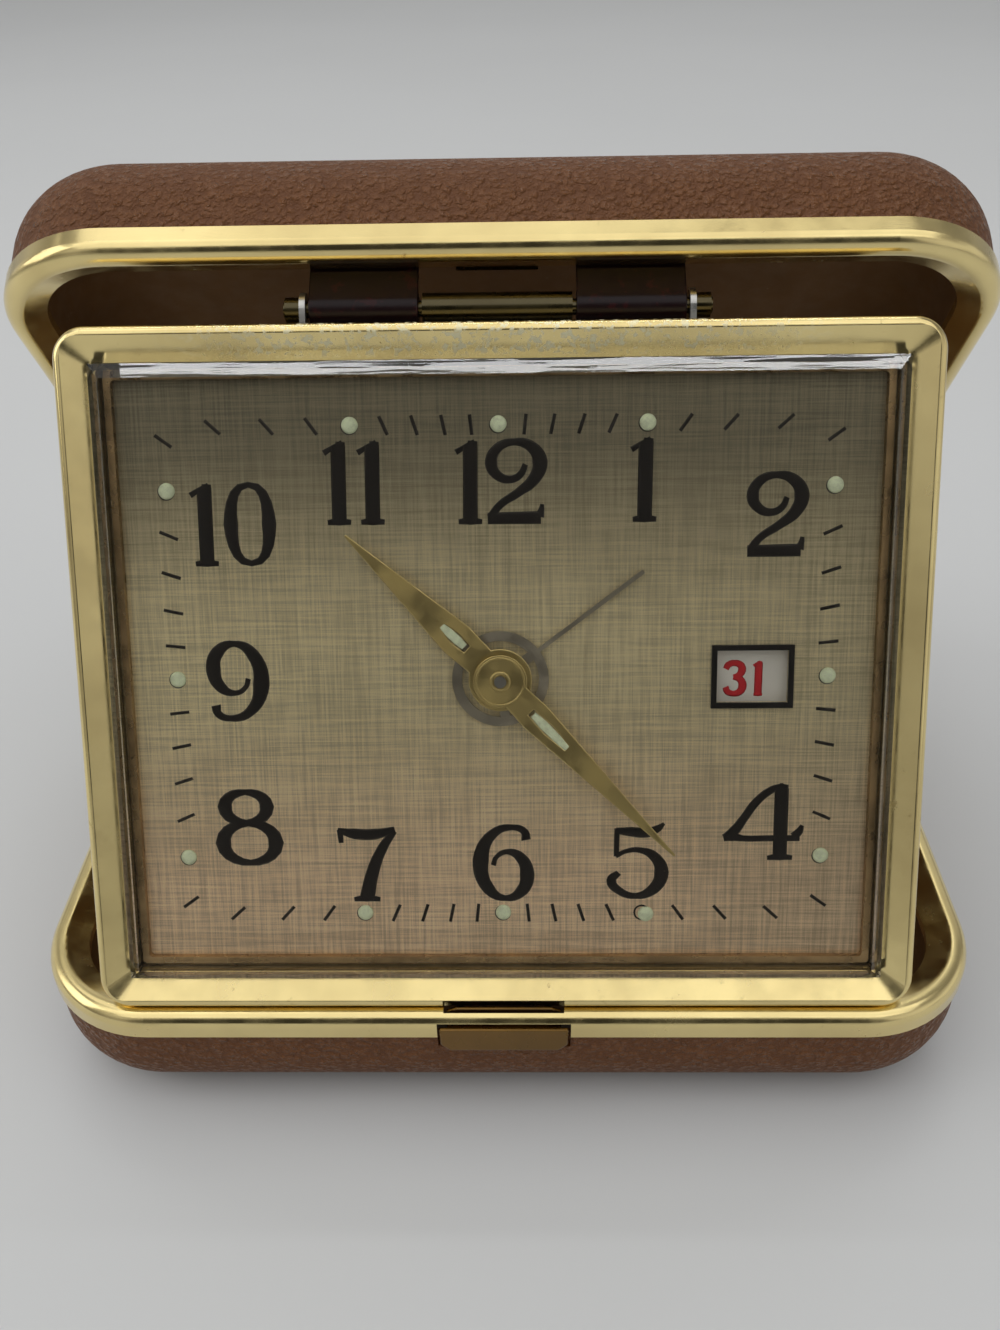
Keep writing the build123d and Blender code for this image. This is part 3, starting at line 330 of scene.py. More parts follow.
# Where the dial's painted reflected light at the foot, and its painted shade at the top and towards
# the right, begin and end.
DIAL_FOOT_REFLECTION = (-0.024, 0.000)
DIAL_TOP_SHADE = (0.004, 0.026)
DIAL_SIDE_SHADE = (0.008, 0.040)

# The first colour is a painted highlight: the near-white of the pitting on the bezel's top band.
PITTED_BRASS_HIGHLIGHT = (0.93, 0.90, 0.66)
RUBBED_LEATHER = (0.18, 0.078, 0.034)
CLEAR_ACRYLIC = (0.97, 0.95, 0.895)


def pitted_band(made):
    """Where the brass has pitting with a painted highlight: most in the middle of the head's upper
    edge.
    """
    on_dial = made.on_dial()
    high = made.span(made.part(on_dial, 1), *PITTED_HIGHLIGHT_UP)
    across = made.maths("ABSOLUTE", made.part(on_dial, 0))
    central = made.fall(across, *PITTED_HIGHLIGHT_ACROSS)
    pits_highlight = made.patches(1300, 0.50, 0.62, detail=3, roughness=0.7)
    return made.times(made.times(high, central), pits_highlight)


def brass_finish(name, base, aged, roughness, flecks, turn=0.0, pitted_highlight=False, waves=0.00005):
    """Polished brass with a soft change of tone, fine scratches and dark flecks of tarnish."""
    made = Finish(name, base, roughness, 1.0)
    tone = made.patches(70, 0.35, 0.75, detail=3)
    spots = made.patches(950, 0.66 - flecks, 0.80 - flecks, detail=2, roughness=0.7)
    speck = made.times(spots, made.patches(160, 0.50, 0.72))
    shade = made.blend(speck, made.blend(made.times(tone, 0.30), base, aged), aged)
    rough = made.uneven(240, roughness, 0.75, 1.45)
    if pitted_highlight:
        pits_highlight = pitted_band(made)
        # Painted highlight: the pitting is painted near-white, besides being made rougher.
        shade = made.blend(made.times(pits_highlight, 0.8), shade, PITTED_BRASS_HIGHLIGHT)
        rough = made.plus(rough, made.times(pits_highlight, 0.40))
    scratches = made.bump(made.brushed(sizes().brush, turn, stretch=14), depth=0.000002)
    return made.surface({
        "Base Color": shade,
        "Roughness": made.plus(rough, made.times(speck, 0.25)),
        "Coat Weight": 0.35,
        "Coat Roughness": 0.07,
        "Normal": made.bump(made.smooth_noise(120), waves, scratches),
    })


def plain_metal(name, base, roughness, wear, turn=0.0):
    """Satin metal with brushed lines and uneven polish."""
    made = Finish(name, base, roughness, 1.0)
    return made.surface({
        "Base Color": made.blend(made.patches(180, 0.35, 0.7), base, darker(base, wear)),
        "Roughness": made.uneven(320, roughness, 0.8, 1.3),
        "Normal": made.bump(made.brushed(sizes().satin, turn, stretch=10), depth=0.000004),
    })


def leather_finish(name):
    """Pebbled leather: raised grain, painted shade darkening the creases between, worn and lighter
    here and there.
    """
    tint = colours()
    grain = sizes().grain
    made = Finish(name, tint.leather, 0.5)
    drift = made.node("ShaderNodeTexNoise", {"Vector": made.place, "Scale": 0.6 / grain})
    wander = made.node(
        "ShaderNodeVectorMath",
        {0: drift.outputs["Color"], 1: (grain, grain, grain), 2: made.place},
        operation="MULTIPLY_ADD",
    ).outputs[0]
    pebbles = made.fall(made.cells(1 / grain, "SMOOTH_F1", wander), 0.0, 0.75)
    beads = made.fall(made.cells(2.3 / grain, "F1", wander), 0.0, 0.8, top=0.35)
    folds = made.times(made.noise(0.34 / grain, distortion=0.8), 1.1)
    pores = made.times(made.noise(5.5 / grain), 0.22)
    height = made.plus(made.plus(made.plus(pebbles, beads), folds), pores)
    raised = made.span(height, 0.55, 1.40)
    # Painted shade: the creases between the grain are darker than the raised grain.
    shade = made.blend(raised, tint.leather_deep, tint.leather)
    cloud = made.times(made.patches(55, 0.35, 0.75), 0.25)
    shade = made.blend(cloud, shade, darker(tint.leather, 0.72))
    rubbed = made.times(made.patches(210, 0.58, 0.75, detail=3), raised)
    return made.surface({
        "Base Color": made.blend(made.times(rubbed, 0.22), shade, RUBBED_LEATHER),
        "Roughness": made.span(height, 0.7, 1.9, 0.62, 0.20),
        "Specular IOR Level": 0.40,
        "Normal": made.bump(height, depth=0.46 * grain),
    })


def linen_dial_finish(name):
    """Metal dial with a crossed linen pattern, with painted shade at the top and towards the right,
    and painted reflected light, rosier, at the foot.
    """
    tint = colours()
    made = Finish(name, tint.dial_middle, 0.42, 0.45)
    threads = 1 / sizes().thread
    upright = made.noise(threads, roughness=0.65, vector=made.on_dial((1, 40, 40)))
    level = made.noise(threads, roughness=0.65, vector=made.on_dial((40, 1, 40)))
    weave = made.times(made.plus(upright, level), 0.5)
    dial = made.on_dial()
    height = made.part(dial, 1)
    # Painted reflected light at the foot, painted shade at the top and towards the right.
    foot = made.fall(height, *DIAL_FOOT_REFLECTION)
    top = made.span(height, *DIAL_TOP_SHADE)
    side = made.times(made.span(made.part(dial, 0), *DIAL_SIDE_SHADE), 0.35)
    shade = made.blend(foot, tint.dial_middle, tint.dial_foot)
    shade = made.blend(top, shade, tint.dial_top)
    shade = made.blend(side, shade, tint.dial_top)
    light = made.span(weave, 0.40, 0.60, 0.68, 1.26, "LINEAR")
    shade = made.blend(1.0, shade, made.grey(light), "MULTIPLY")
    cloud = made.times(made.patches(90, 0.4, 0.75), 0.18)
    return made.surface({
        "Base Color": made.blend(cloud, shade, tint.dial_top),
        "Roughness": made.span(weave, 0.35, 0.65, 0.5, 0.34),
        "Normal": made.bump(weave, depth=0.000018),
    })


def paint_finish(name, base, roughness, worn, worn_share, grain=900.0, gloss=0.5):
    """Paint, paper or enamel with fine grain and places rubbed to another colour."""
    made = Finish(name, base, roughness)
    shade = made.blend(made.times(made.patches(130, 0.35, 0.75), 0.35), base, darker(base, 0.7))
    rubbed = made.patches(420, 0.78 - worn_share, 0.86 - worn_share, roughness=0.7)
    return made.surface({
        "Base Color": made.blend(rubbed, shade, worn),
        "Roughness": made.uneven(300, roughness, 0.85, 1.2),
        "Specular IOR Level": gloss,
        "Normal": made.bump(made.noise(grain), depth=0.00002),
    })


def crystal_finish(name):
    """Clear acrylic with a slightly uneven surface and the finest scratches."""
    made = Finish(name, CLEAR_ACRYLIC, 0.02)
    streaks = made.bump(made.smooth_noise(700, made.on_dial((14, 1, 1))), depth=0.000014)
    scratched = made.span(made.noise(500), 0.55, 0.8, 0.0, 0.03)
    return made.surface({
        "Transmission Weight": 1.0,
        "IOR": 1.33,
        "Roughness": scratched,
        "Normal": made.bump(made.smooth_noise(45), depth=0.000012, under=streaks),
    })


def lume_finish(name):
    """Chalky luminous paint, a little uneven."""
    tint = colours().lume
    made = Finish(name, tint, 0.75)
    return made.surface({
        "Base Color": made.blend(
            made.patches(1500, 0.35, 0.7, detail=3), tint, darker(tint, 0.78)
        ),
        "Normal": made.bump(made.noise(2600), depth=0.00004),
    })


def ink_finish(name, tint, ground):
    """Printed ink with a few pinholes where the ground shows."""
    made = Finish(name, tint, 0.4)
    holes = made.times(made.patches(2300, 0.74, 0.80, detail=2), 0.7)
    return made.surface({
        "Base Color": made.blend(holes, tint, ground),
        "Normal": made.bump(made.smooth_noise(1800), depth=0.000006),
    })


FINISHES = {}


def plain_name(material):
    """A material's name without the number that a second one of that name gets."""
    return material.name.split(".")[0]


def make_finishes():
    """Every finish by the slot or piece it belongs to."""
    tint = colours()
    brass, aged = tint.brass, tint.brass_aged
    made = (
        brass_finish("rim_brass", brass, aged, 0.19, flecks=0.02),
        brass_finish("bezel_brass", brass, aged, 0.19, flecks=0.05, turn=HEAD_TILT, pitted_highlight=True),
        # Painted shade: the hinge's brass is brought down to a tenth, for the shade it sits in
        # behind the head's top edge.
        brass_finish("hinge_brass", darker(brass, 0.10), darker(aged, 0.16), 0.24, flecks=0.10),
        brass_finish(
            "hand_brass", (0.62, 0.50, 0.22), (0.50, 0.40, 0.17), 0.42,
            flecks=-0.10, turn=HEAD_TILT, waves=0.000004,
        ),
        brass_finish(
            "latch_brass", (0.20, 0.105, 0.02), (0.06, 0.035, 0.01), 0.24, flecks=0.06
        ),
        plain_metal("hand_steel", (0.50, 0.46, 0.38), 0.40, wear=0.85, turn=HEAD_TILT),
        plain_metal("movement_brass", (0.78, 0.60, 0.29), 0.32, wear=0.75, turn=HEAD_TILT),
        plain_metal("can_metal", (0.66, 0.57, 0.36), 0.36, wear=0.7, turn=HEAD_TILT),
        plain_metal("steel", (0.60, 0.59, 0.56), 0.28, wear=0.7),
        plain_metal("spring_steel", (0.20, 0.23, 0.33), 0.25, wear=0.6),
        plain_metal("seat_silver", (0.46, 0.32, 0.17), 0.28, wear=0.6),
        leather_finish("cover_leather"),
        linen_dial_finish("dial_face"),
        crystal_finish("crystal_clear"),
        lume_finish("lume"),
        paint_finish(
            "shell_steel", (0.12, 0.09, 0.075), 0.5, worn=(0.25, 0.2, 0.15), worn_share=0.06
        ),
        paint_finish(
            "lining_paper", tint.lining, 0.8, worn=(0.36, 0.24, 0.15), worn_share=0.10, grain=2200
        ),
        paint_finish(
            "plate_enamel", (0.011, 0.004, 0.005), 0.33,
            worn=(0.028, 0.005, 0.006), worn_share=0.22, gloss=0.22,
        ),
        paint_finish(
            "window_black", (0.012, 0.010, 0.010), 0.35, worn=(0.05, 0.04, 0.04), worn_share=0.04
        ),
        paint_finish(
            "date_white", (0.80, 0.79, 0.77), 0.5, worn=(0.70, 0.68, 0.64), worn_share=0.06
        ),
        ink_finish("ink", tint.ink, ground=(0.12, 0.10, 0.07)),
        ink_finish("date_ink", tint.date_ink, ground=(0.7, 0.3, 0.3)),
    )
    FINISHES.update((plain_name(material), material) for material in made)


def dress(node, finish):
    """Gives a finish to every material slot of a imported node."""
    for slot in frame["nodes"][node].material_slots:
        slot.material = FINISHES[finish]


# ------------------------------------------------------------------ making pieces


def add_object(name, data):
    """A new object of the scene, at the origin, that holds a mesh, a lamp or a camera."""
    piece = bpy.data.objects.new(name, data)
    bpy.context.scene.collection.objects.link(piece)
    return piece


def add_piece(name, mesh, body, slot, finish=None):
    """A piece that rides its body, in its slot's finish or in another one."""
    piece = add_object(name, mesh)
    mesh.materials.append(FINISHES[finish or slot])
    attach(piece, body)
    return piece


def mesh_from(shape, name):
    """Turns a finished bmesh into a mesh."""
    mesh = bpy.data.meshes.new(name)
    shape.to_mesh(mesh)
    shape.free()
    return mesh


def on_head(mesh, height):
    """Moves a mesh drawn flat in mm to a height in front of the dial's spindle plane."""
    mesh.transform(HEAD @ Matrix.Translation((0, 0, height)))
    mesh.update()
    return mesh


# Corners nearer than WELD, in metres, are one corner. The rest are angles between two faces.
WELD = 0.000001
FLAT_BELOW = math.radians(1.5)
SMOOTH_BELOW = math.radians(20)
SHARP_ABOVE = math.radians(40)


def softened(node, body, slot, finish, width):
    """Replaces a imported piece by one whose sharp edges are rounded, so that they catch light."""
    shape = bmesh.new()
    shape.from_mesh(frame["nodes"][node].data)
    bmesh.ops.remove_doubles(shape, verts=shape.verts, dist=WELD)
    bmesh.ops.dissolve_limit(
        shape, angle_limit=FLAT_BELOW, verts=shape.verts, edges=shape.edges, delimit={"NORMAL"}
    )
    sharp = [e for e in shape.edges if e.is_manifold and e.calc_face_angle(0) > SHARP_ABOVE]
    bmesh.ops.bevel(
        shape, geom=sharp, offset=width, segments=2, profile=0.5, affect="EDGES", material=-1,
        clamp_overlap=True,
    )
    for face in shape.faces:
        face.smooth = True
    for edge in shape.edges:
        edge.smooth = edge.is_manifold and edge.calc_face_angle(0) < SMOOTH_BELOW
    name = node + "_softened"
    piece = add_piece(name, mesh_from(shape, name), body, slot, finish)
    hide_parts(node)


# A stroke is OPEN or a closed LOOP, with its (x, y, half width) points.
OPEN, LOOP = False, True


def ring(x, y, radius, half):
    """A round stroke about a point."""
    points = [(x + radius * math.cos(a), y + radius * math.sin(a), half) for a in QUARTER_TURNS]
    return LOOP, points


def stroke_mesh(name, strokes, thickness, bend=5, round_steps=2):
    """Strokes in mm as flattened tubes, as thick as a share of their width."""
    curve = bpy.data.curves.new(name, "CURVE")
    curve.dimensions = "3D"
    curve.bevel_depth = 1.0
    curve.bevel_resolution = round_steps
    curve.resolution_u = bend
    curve.use_fill_caps = True
    for closed, points in strokes:
        spline = curve.splines.new("BEZIER")
        spline.bezier_points.add(len(points) - 1)
        spline.use_cyclic_u = closed
        for knot, (x, y, half) in zip(spline.bezier_points, points):
            knot.co = (x, y, 0)
            knot.radius = half
            knot.handle_left_type = knot.handle_right_type = "AUTO"
    holder = add_object(name, curve)
    bpy.context.view_layer.update()
    evaluated = holder.evaluated_get(bpy.context.evaluated_depsgraph_get())
    mesh = bpy.data.meshes.new_from_object(evaluated)
    bpy.data.objects.remove(holder)
    bpy.data.curves.remove(curve)
    mesh.transform(Matrix.Diagonal((1, 1, thickness, 1)))
    mesh.name = name
    return mesh


# ------------------------------------------------------------------ figures

# Figures one unit high, each with its width and its strokes, x from its left edge.
FIGURES = {
    "0": (0.63, [
        (LOOP, [
            (0.317, 0.965, 0.036), (0.545, 0.5, 0.088), (0.317, 0.035, 0.036), (0.088, 0.5, 0.088),
        ]),
    ]),
    "1": (0.32, [
        (OPEN, [(0.175, 0.03, 0.088), (0.18, 0.5, 0.088), (0.185, 0.93, 0.088)]),
        (OPEN, [(0.205, 0.87, 0.068), (0.215, 0.975, 0.055)]),
        (OPEN, [(0.015, 0.845, 0.035), (0.1, 0.895, 0.03), (0.235, 0.975, 0.022)]),
        (OPEN, [(0.035, 0.035, 0.03), (0.175, 0.045, 0.048), (0.315, 0.035, 0.03)]),
    ]),
    "2": (0.74, [
        (OPEN, [
            (0.48, 0.7, 0.034), (0.425, 0.585, 0.042), (0.307, 0.525, 0.045), (0.15, 0.575, 0.058),
            (0.078, 0.715, 0.074), (0.15, 0.885, 0.058), (0.345, 0.958, 0.04), (0.56, 0.895, 0.068),
            (0.652, 0.725, 0.09), (0.585, 0.535, 0.074), (0.39, 0.37, 0.052), (0.18, 0.23, 0.046),
            (0.06, 0.08, 0.05),
        ]),
        (OPEN, [(0.03, 0.072, 0.07), (0.35, 0.075, 0.074), (0.66, 0.078, 0.076)]),
        (OPEN, [(0.64, 0.09, 0.06), (0.665, 0.17, 0.036), (0.675, 0.235, 0.024)]),
    ]),
    "3": (0.66, [
        (OPEN, [
            (0.045, 0.76, 0.07), (0.12, 0.88, 0.075), (0.32, 0.93, 0.068), (0.52, 0.86, 0.085),
            (0.56, 0.715, 0.09), (0.46, 0.58, 0.075), (0.29, 0.535, 0.055),
        ]),
        (OPEN, [
            (0.29, 0.535, 0.055), (0.5, 0.475, 0.08), (0.59, 0.3, 0.095), (0.5, 0.12, 0.085),
            (0.3, 0.065, 0.068), (0.11, 0.125, 0.075), (0.045, 0.26, 0.07),
        ]),
    ]),
    "4": (1.04, [
        (OPEN, [(0.745, 0.03, 0.088), (0.745, 0.5, 0.088), (0.745, 0.93, 0.088)]),
        (OPEN, [(0.755, 0.9, 0.07), (0.775, 0.985, 0.055)]),
        (OPEN, [
            (0.77, 0.965, 0.036), (0.61, 0.905, 0.048), (0.43, 0.75, 0.054), (0.29, 0.545, 0.054),
            (0.165, 0.375, 0.066), (0.05, 0.3, 0.044),
        ]),
        (OPEN, [
            (0.045, 0.29, 0.04), (0.15, 0.312, 0.06), (0.28, 0.29, 0.04), (0.6, 0.29, 0.038),
            (0.985, 0.29, 0.038),
        ]),
        (OPEN, [(0.9, 0.31, 0.05), (0.97, 0.37, 0.052), (1.01, 0.455, 0.026)]),
        (OPEN, [(0.59, 0.035, 0.03), (0.745, 0.048, 0.048), (0.9, 0.035, 0.03)]),
    ]),
    "5": (0.8, [
        (OPEN, [(0.135, 0.925, 0.034), (0.13, 0.75, 0.034), (0.128, 0.56, 0.034)]),
        (OPEN, [
            (0.12, 0.895, 0.04), (0.3, 0.88, 0.062), (0.5, 0.87, 0.068), (0.64, 0.92, 0.048),
            (0.715, 0.985, 0.02),
        ]),
        (OPEN, [
            (0.12, 0.56, 0.028), (0.24, 0.625, 0.03), (0.42, 0.64, 0.038), (0.6, 0.555, 0.064),
            (0.69, 0.345, 0.092), (0.595, 0.135, 0.074), (0.37, 0.04, 0.04), (0.155, 0.115, 0.052),
            (0.068, 0.245, 0.064), (0.16, 0.345, 0.04),
        ]),
    ]),
    "6": (0.79, [
        (OPEN, [
            (0.68, 0.8, 0.06), (0.66, 0.905, 0.05), (0.52, 0.965, 0.038), (0.27, 0.885, 0.062),
            (0.112, 0.545, 0.102), (0.205, 0.165, 0.078), (0.42, 0.038, 0.038),
            (0.625, 0.14, 0.078), (0.69, 0.355, 0.092), (0.612, 0.57, 0.07), (0.44, 0.65, 0.036),
            (0.305, 0.575, 0.03), (0.268, 0.47, 0.034),
        ]),
    ]),
    "7": (0.78, [
        (OPEN, [
            (0.03, 0.945, 0.032), (0.24, 0.895, 0.07), (0.5, 0.89, 0.072), (0.745, 0.955, 0.036),
        ]),
        (OPEN, [(0.055, 0.95, 0.036), (0.065, 0.86, 0.036), (0.07, 0.775, 0.03)]),
        (OPEN, [
            (0.735, 0.93, 0.042), (0.58, 0.7, 0.064), (0.455, 0.4, 0.08), (0.375, 0.06, 0.094),
        ]),
        (OPEN, [(0.21, 0.033, 0.03), (0.37, 0.05, 0.05), (0.54, 0.033, 0.03)]),
    ]),
    "8": (0.86, [
        (LOOP, [
            (0.4, 0.958, 0.038), (0.665, 0.77, 0.092), (0.4, 0.56, 0.042), (0.14, 0.77, 0.092),
        ]),
        (LOOP, [
            (0.42, 0.558, 0.042), (0.76, 0.3, 0.098), (0.43, 0.04, 0.038), (0.098, 0.3, 0.098),
        ]),
    ]),
}
WIDEST_STROKE = 0.09
WIDTH_9, TURNED_6 = FIGURES["6"]
FIGURES["9"] = (
    WIDTH_9,
    [(kind, [(WIDTH_9 - x, 1 - y, half) for x, y, half in points]) for kind, points in TURNED_6],
)

# Hour numerals as they stand on the dial: figure, centre x and centre y in mm.
NUMERALS = [
    ("1", -2.95, 19.75), ("2", 1.75, 19.75),
    ("1", 14.30, 19.85),
    ("2", 27.50, 16.30),
    ("4", 27.00, -15.40),
    ("5", 14.20, -19.60),
    ("6", 0.10, -19.80),
    ("7", -14.20, -19.85),
    ("8", -26.50, -15.80),
    ("9", -26.85, -0.15),
    ("1", -29.45, 15.80), ("0", -24.85, 15.80),
    ("1", -16.00, 19.80), ("1", -12.65, 19.80),
]

# The rectangle that the minute strokes and the dots follow: half its height and width in mm.
TRACK_UP = 25.3
TRACK_SIDE = 33.05

# A printed ring's radius as a share of the dot's, its half width in mm and how flat it is. A dot's
# own flatness, how deep its foot reaches, and how far it slips off its ring, in mm.
DOT_RING_SHARE = 0.93
DOT_RING_HALF = 0.10
DOT_RING_FLATNESS = 0.3
DOT_FLATNESS = 0.5
DOT_FOOT = -0.05
DOT_SLIP = Vector((0.05, 0.06))
STRAY_DOT, STRAY_SLIP = 5, Vector((0.42, -0.16))

# The date behind its window: the middle of the window and the pitch of two digits in mm, how
# much narrower and bolder its digits are than the hour numerals, and how flat they are.
DAYS = 31
DATE_X, DATE_Y = 25.05, -0.35
DATE_PITCH = 2.35
DATE_SQUEEZE = 0.86
DATE_WEIGHT = 1.25
DATE_FLATNESS = 0.03


def figure_strokes(figure, centre_x, centre_y, height, squeeze=1.0, weight=1.0):
    """The strokes of one figure, centred on a point of the dial, in mm."""
    width, strokes = FIGURES[figure]
    return [
        (
            kind,
            [
                (
                    centre_x + (x - width / 2) * height * squeeze,
                    centre_y + (y - 0.5) * height,
                    half * height * weight,
                )
                for x, y, half in points
            ],
        )
        for kind, points in strokes
    ]


def track_point(minute):
    """Where a minute lies on the rectangular track, in mm."""
    angle = math.radians(6 * minute)
    across, up = math.sin(angle), math.cos(angle)
    reach = min(TRACK_SIDE / max(abs(across), 1e-6), TRACK_UP / max(abs(up), 1e-6))
    return Vector((across * reach, up * reach))


# ------------------------------------------------------------------ steps


class TRAVELCLOCK_OT_finishes(Operator):
    """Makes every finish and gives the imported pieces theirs"""

    bl_idname = "travelclock.finishes"
    bl_label = "Finishes"

    def execute(self, context):
        make_finishes()
        for node in frame["nodes"].values():
            for slot in node.material_slots:
                name = plain_name(slot.material)
                if name not in FINISHES:
                    raise RuntimeError("no finish for " + name)
                slot.material = FINISHES[name]
        dress("rod_sleeve", "hinge_brass")
        dress("alarm_hand", "hand_steel")
        return {"FINISHED"}


# A hand's luminous filling: how far its ends lie inside the slot, and its half widths, in mm.
PAINT_NEAR, PAINT_FAR = 0.35, 0.05
PAINT_HALVES = (0.34, 0.47, 0.44, 0.30)
PAINT_FLATNESS = 0.16


def slot_paint(node, body):
    """Replaces the luminous filling of a hand's slot by one with round ends, proud of it."""
    points = dial_points(node)
    middle = sum((p.xy for p in points), Vector((0, 0))) / len(points)
    along = middle.normalized()
    near = min(p.xy.dot(along) for p in points) + PAINT_NEAR
    far = max(p.xy.dot(along) for p in points) + PAINT_FAR
    reaches = (near, 0.7 * near + 0.3 * far, 0.3 * near + 0.7 * far, far)
    knots = [(along.x * r, along.y * r, half) for r, half in zip(reaches, PAINT_HALVES)]
    name = node + "_paint"
    mesh = stroke_mesh(name, [(OPEN, knots)], PAINT_FLATNESS, bend=8, round_steps=6)
    paint = add_piece(name, on_head(mesh, front_of(node)), body, "lume")
    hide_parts(node)


# The raised rings of the minute hand's hub: their half widths in mm, and how flat they are.
HUB_RING_HALF = 0.11
TUBE_RING_HALF = 0.19
HUB_RINGS_FLATNESS = 0.6


class TRAVELCLOCK_OT_soft_edges(Operator):
    """Rounds the sharp edges of the hands, the latch and the hinge, and fills the hands' slots"""

    bl_idname = "travelclock.soft_edges"
    bl_label = "Rounded edges"

    def execute(self, context):
        size = sizes()
        softened("minute_hand", "minute", "bezel_brass", "hand_brass", size.edge)
        softened("hour_hand", "hour", "bezel_brass", "hand_brass", size.edge)
        rings = [
            ring(0, 0, size.hub_ring / MM, HUB_RING_HALF),
            ring(0, 0, size.tube_ring / MM, TUBE_RING_HALF),
        ]
        mesh = stroke_mesh("hub_rings", rings, HUB_RINGS_FLATNESS, bend=12, round_steps=4)
        on_head(mesh, front_of("minute_hand"))
        add_piece("hub_rings", mesh, "minute", "bezel_brass", "hand_brass")
        slot_paint("minute_hand_inlay", "minute")
        slot_paint("hour_hand_inlay", "hour")
        softened("latch_button", "latch", "rim_brass", "latch_brass", 2 * size.edge)
        softened("head_hinge_plate", "lid", "plate_enamel", "plate_enamel", 2 * size.edge)
        return {"FINISHED"}


class TRAVELCLOCK_OT_dial_print(Operator):
    """Prints the numerals and the minute strokes on the dial"""

    bl_idname = "travelclock.dial_print"
    bl_label = "Dial print"

    def execute(self, context):
        size = sizes()
        height = size.numeral_height / MM
        strokes = []
        for figure, x, y in NUMERALS:
            strokes += figure_strokes(figure, x, y, height)
        mesh = stroke_mesh("hour_numerals", strokes, size.ink / MM / (WIDEST_STROKE * height))
        on_head(mesh, front_of("dial"))
        add_piece("hour_numerals", mesh, "head", "window_black", "ink")
        half = size.tick_width / MM / 2
        reach = size.tick_length / MM / 2
        marks = []
        for minute in range(60):
            if minute % 5 == 0:
                continue
            middle = track_point(minute)
            along = middle.normalized() * reach
            ends = [middle - along, middle, middle + along]
            marks.append((OPEN, [(p.x, p.y, half) for p in ends]))
        mesh = stroke_mesh("minute_strokes", marks, size.ink / MM / half, bend=2, round_steps=1)
        on_head(mesh, front_of("dial"))
        add_piece("minute_strokes", mesh, "head", "window_black", "ink")
        return {"FINISHED"}


class TRAVELCLOCK_OT_dots(Operator):
    """Sets the domed luminous dots in their printed rings"""

    bl_idname = "travelclock.dots"
    bl_label = "Luminous dots"

    def execute(self, context):
        radius = sizes().dot_radius / MM
        rings = []
        domes = bmesh.new()
        for hour in range(12):
            at = track_point(hour * 5)
            slip = STRAY_SLIP if hour == STRAY_DOT else DOT_SLIP
            rings.append(ring(at.x, at.y, DOT_RING_SHARE * radius, DOT_RING_HALF))
            place = Matrix.Translation((at + slip).to_3d())
            shape = place @ Matrix.Diagonal((1, 1, DOT_FLATNESS, 1))
            bmesh.ops.create_uvsphere(
                domes, u_segments=24, v_segments=12, radius=radius, matrix=shape
            )
        below = [v for v in domes.verts if v.co.z < DOT_FOOT]
        bmesh.ops.delete(domes, geom=below, context="VERTS")
        bmesh.ops.holes_fill(domes, edges=[e for e in domes.edges if e.is_boundary])
        for face in domes.faces:
            face.smooth = True
        mesh = on_head(mesh_from(domes, "luminous_domes"), front_of("dial"))
        dots = add_piece("luminous_domes", mesh, "head", "lume")
        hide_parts("luminous_dots")
        mesh = on_head(stroke_mesh("dot_rings", rings, DOT_RING_FLATNESS), front_of("dial"))
        add_piece("dot_rings", mesh, "head", "window_black", "ink")
        return {"FINISHED"}


class TRAVELCLOCK_OT_dates(Operator):
    """Prints the days of the month round the date disc"""

    bl_idname = "travelclock.dates"
    bl_label = "Date figures"

    def execute(self, context):
        height = sizes().date_height / MM
        whole = bmesh.new()
        for day in range(1, DAYS + 1):
            strokes = []
            digits = str(day)
            for place, digit in enumerate(digits):
                x = DATE_X + (place - (len(digits) - 1) / 2) * DATE_PITCH
                strokes += figure_strokes(digit, x, DATE_Y, height, DATE_SQUEEZE, DATE_WEIGHT)
            mesh = stroke_mesh("day", strokes, DATE_FLATNESS, bend=3, round_steps=1)
            mesh.transform(Matrix.Rotation(math.radians((DAYS - day) * 360 / DAYS), 4, "Z"))
            whole.from_mesh(mesh)
            bpy.data.meshes.remove(mesh)
        mesh = on_head(mesh_from(whole, "date_figures"), front_of("date_disc"))
        add_piece("date_figures", mesh, "date", "date_white", "date_ink")
        return {"FINISHED"}


# The floor's radius and the point that every lamp faces, in metres. Then each lamp's name, its
# place and its width and height in metres, and its watts.
FLOOR_RADIUS = 9.0
LAMPS_AIM = Vector((0, 0, 0.04))
LAMPS = [
    ("lamp_above", (-0.10, 0.30, 0.90), (1.0, 0.7), 1.6),
    ("lamp_strip", (0.0, 0.44, 0.91), (0.70, 0.015), 0.5),
    ("lamp_left", (-0.85, -0.10, 0.50), (0.6, 0.6), 1.6),
    ("lamp_front", (0.05, -0.42, 0.98), (1.8, 0.9), 4.0),
]

# The room that the brass mirrors: pale walls with darker places, and a dark card in front.
WALL_STOPS = [(0.36, (0.34, 0.335, 0.33, 1)), (0.66, (0.95, 0.95, 0.95, 1))]
CARD_SIDE = (0.0, -0.966, 0.259)
CARD_TONE = (0.05, 0.05, 0.05)
BACKGROUND = (0.80, 0.81, 0.81)


def lay_floor():
    """A wide round floor, a shade uneven."""
    tint = colours().floor
    made = Finish("floor", tint, 0.6)
    cloud = made.patches(3, 0.3, 0.7, detail=3)
    shape = bmesh.new()
    bmesh.ops.create_circle(shape, cap_ends=True, segments=stage().steps, radius=FLOOR_RADIUS)
    mesh = mesh_from(shape, "floor")
    mesh.materials.append(made.surface({"Base Color": made.blend(cloud, tint, darker(tint, 0.97))}))
    floor = add_object("floor", mesh)


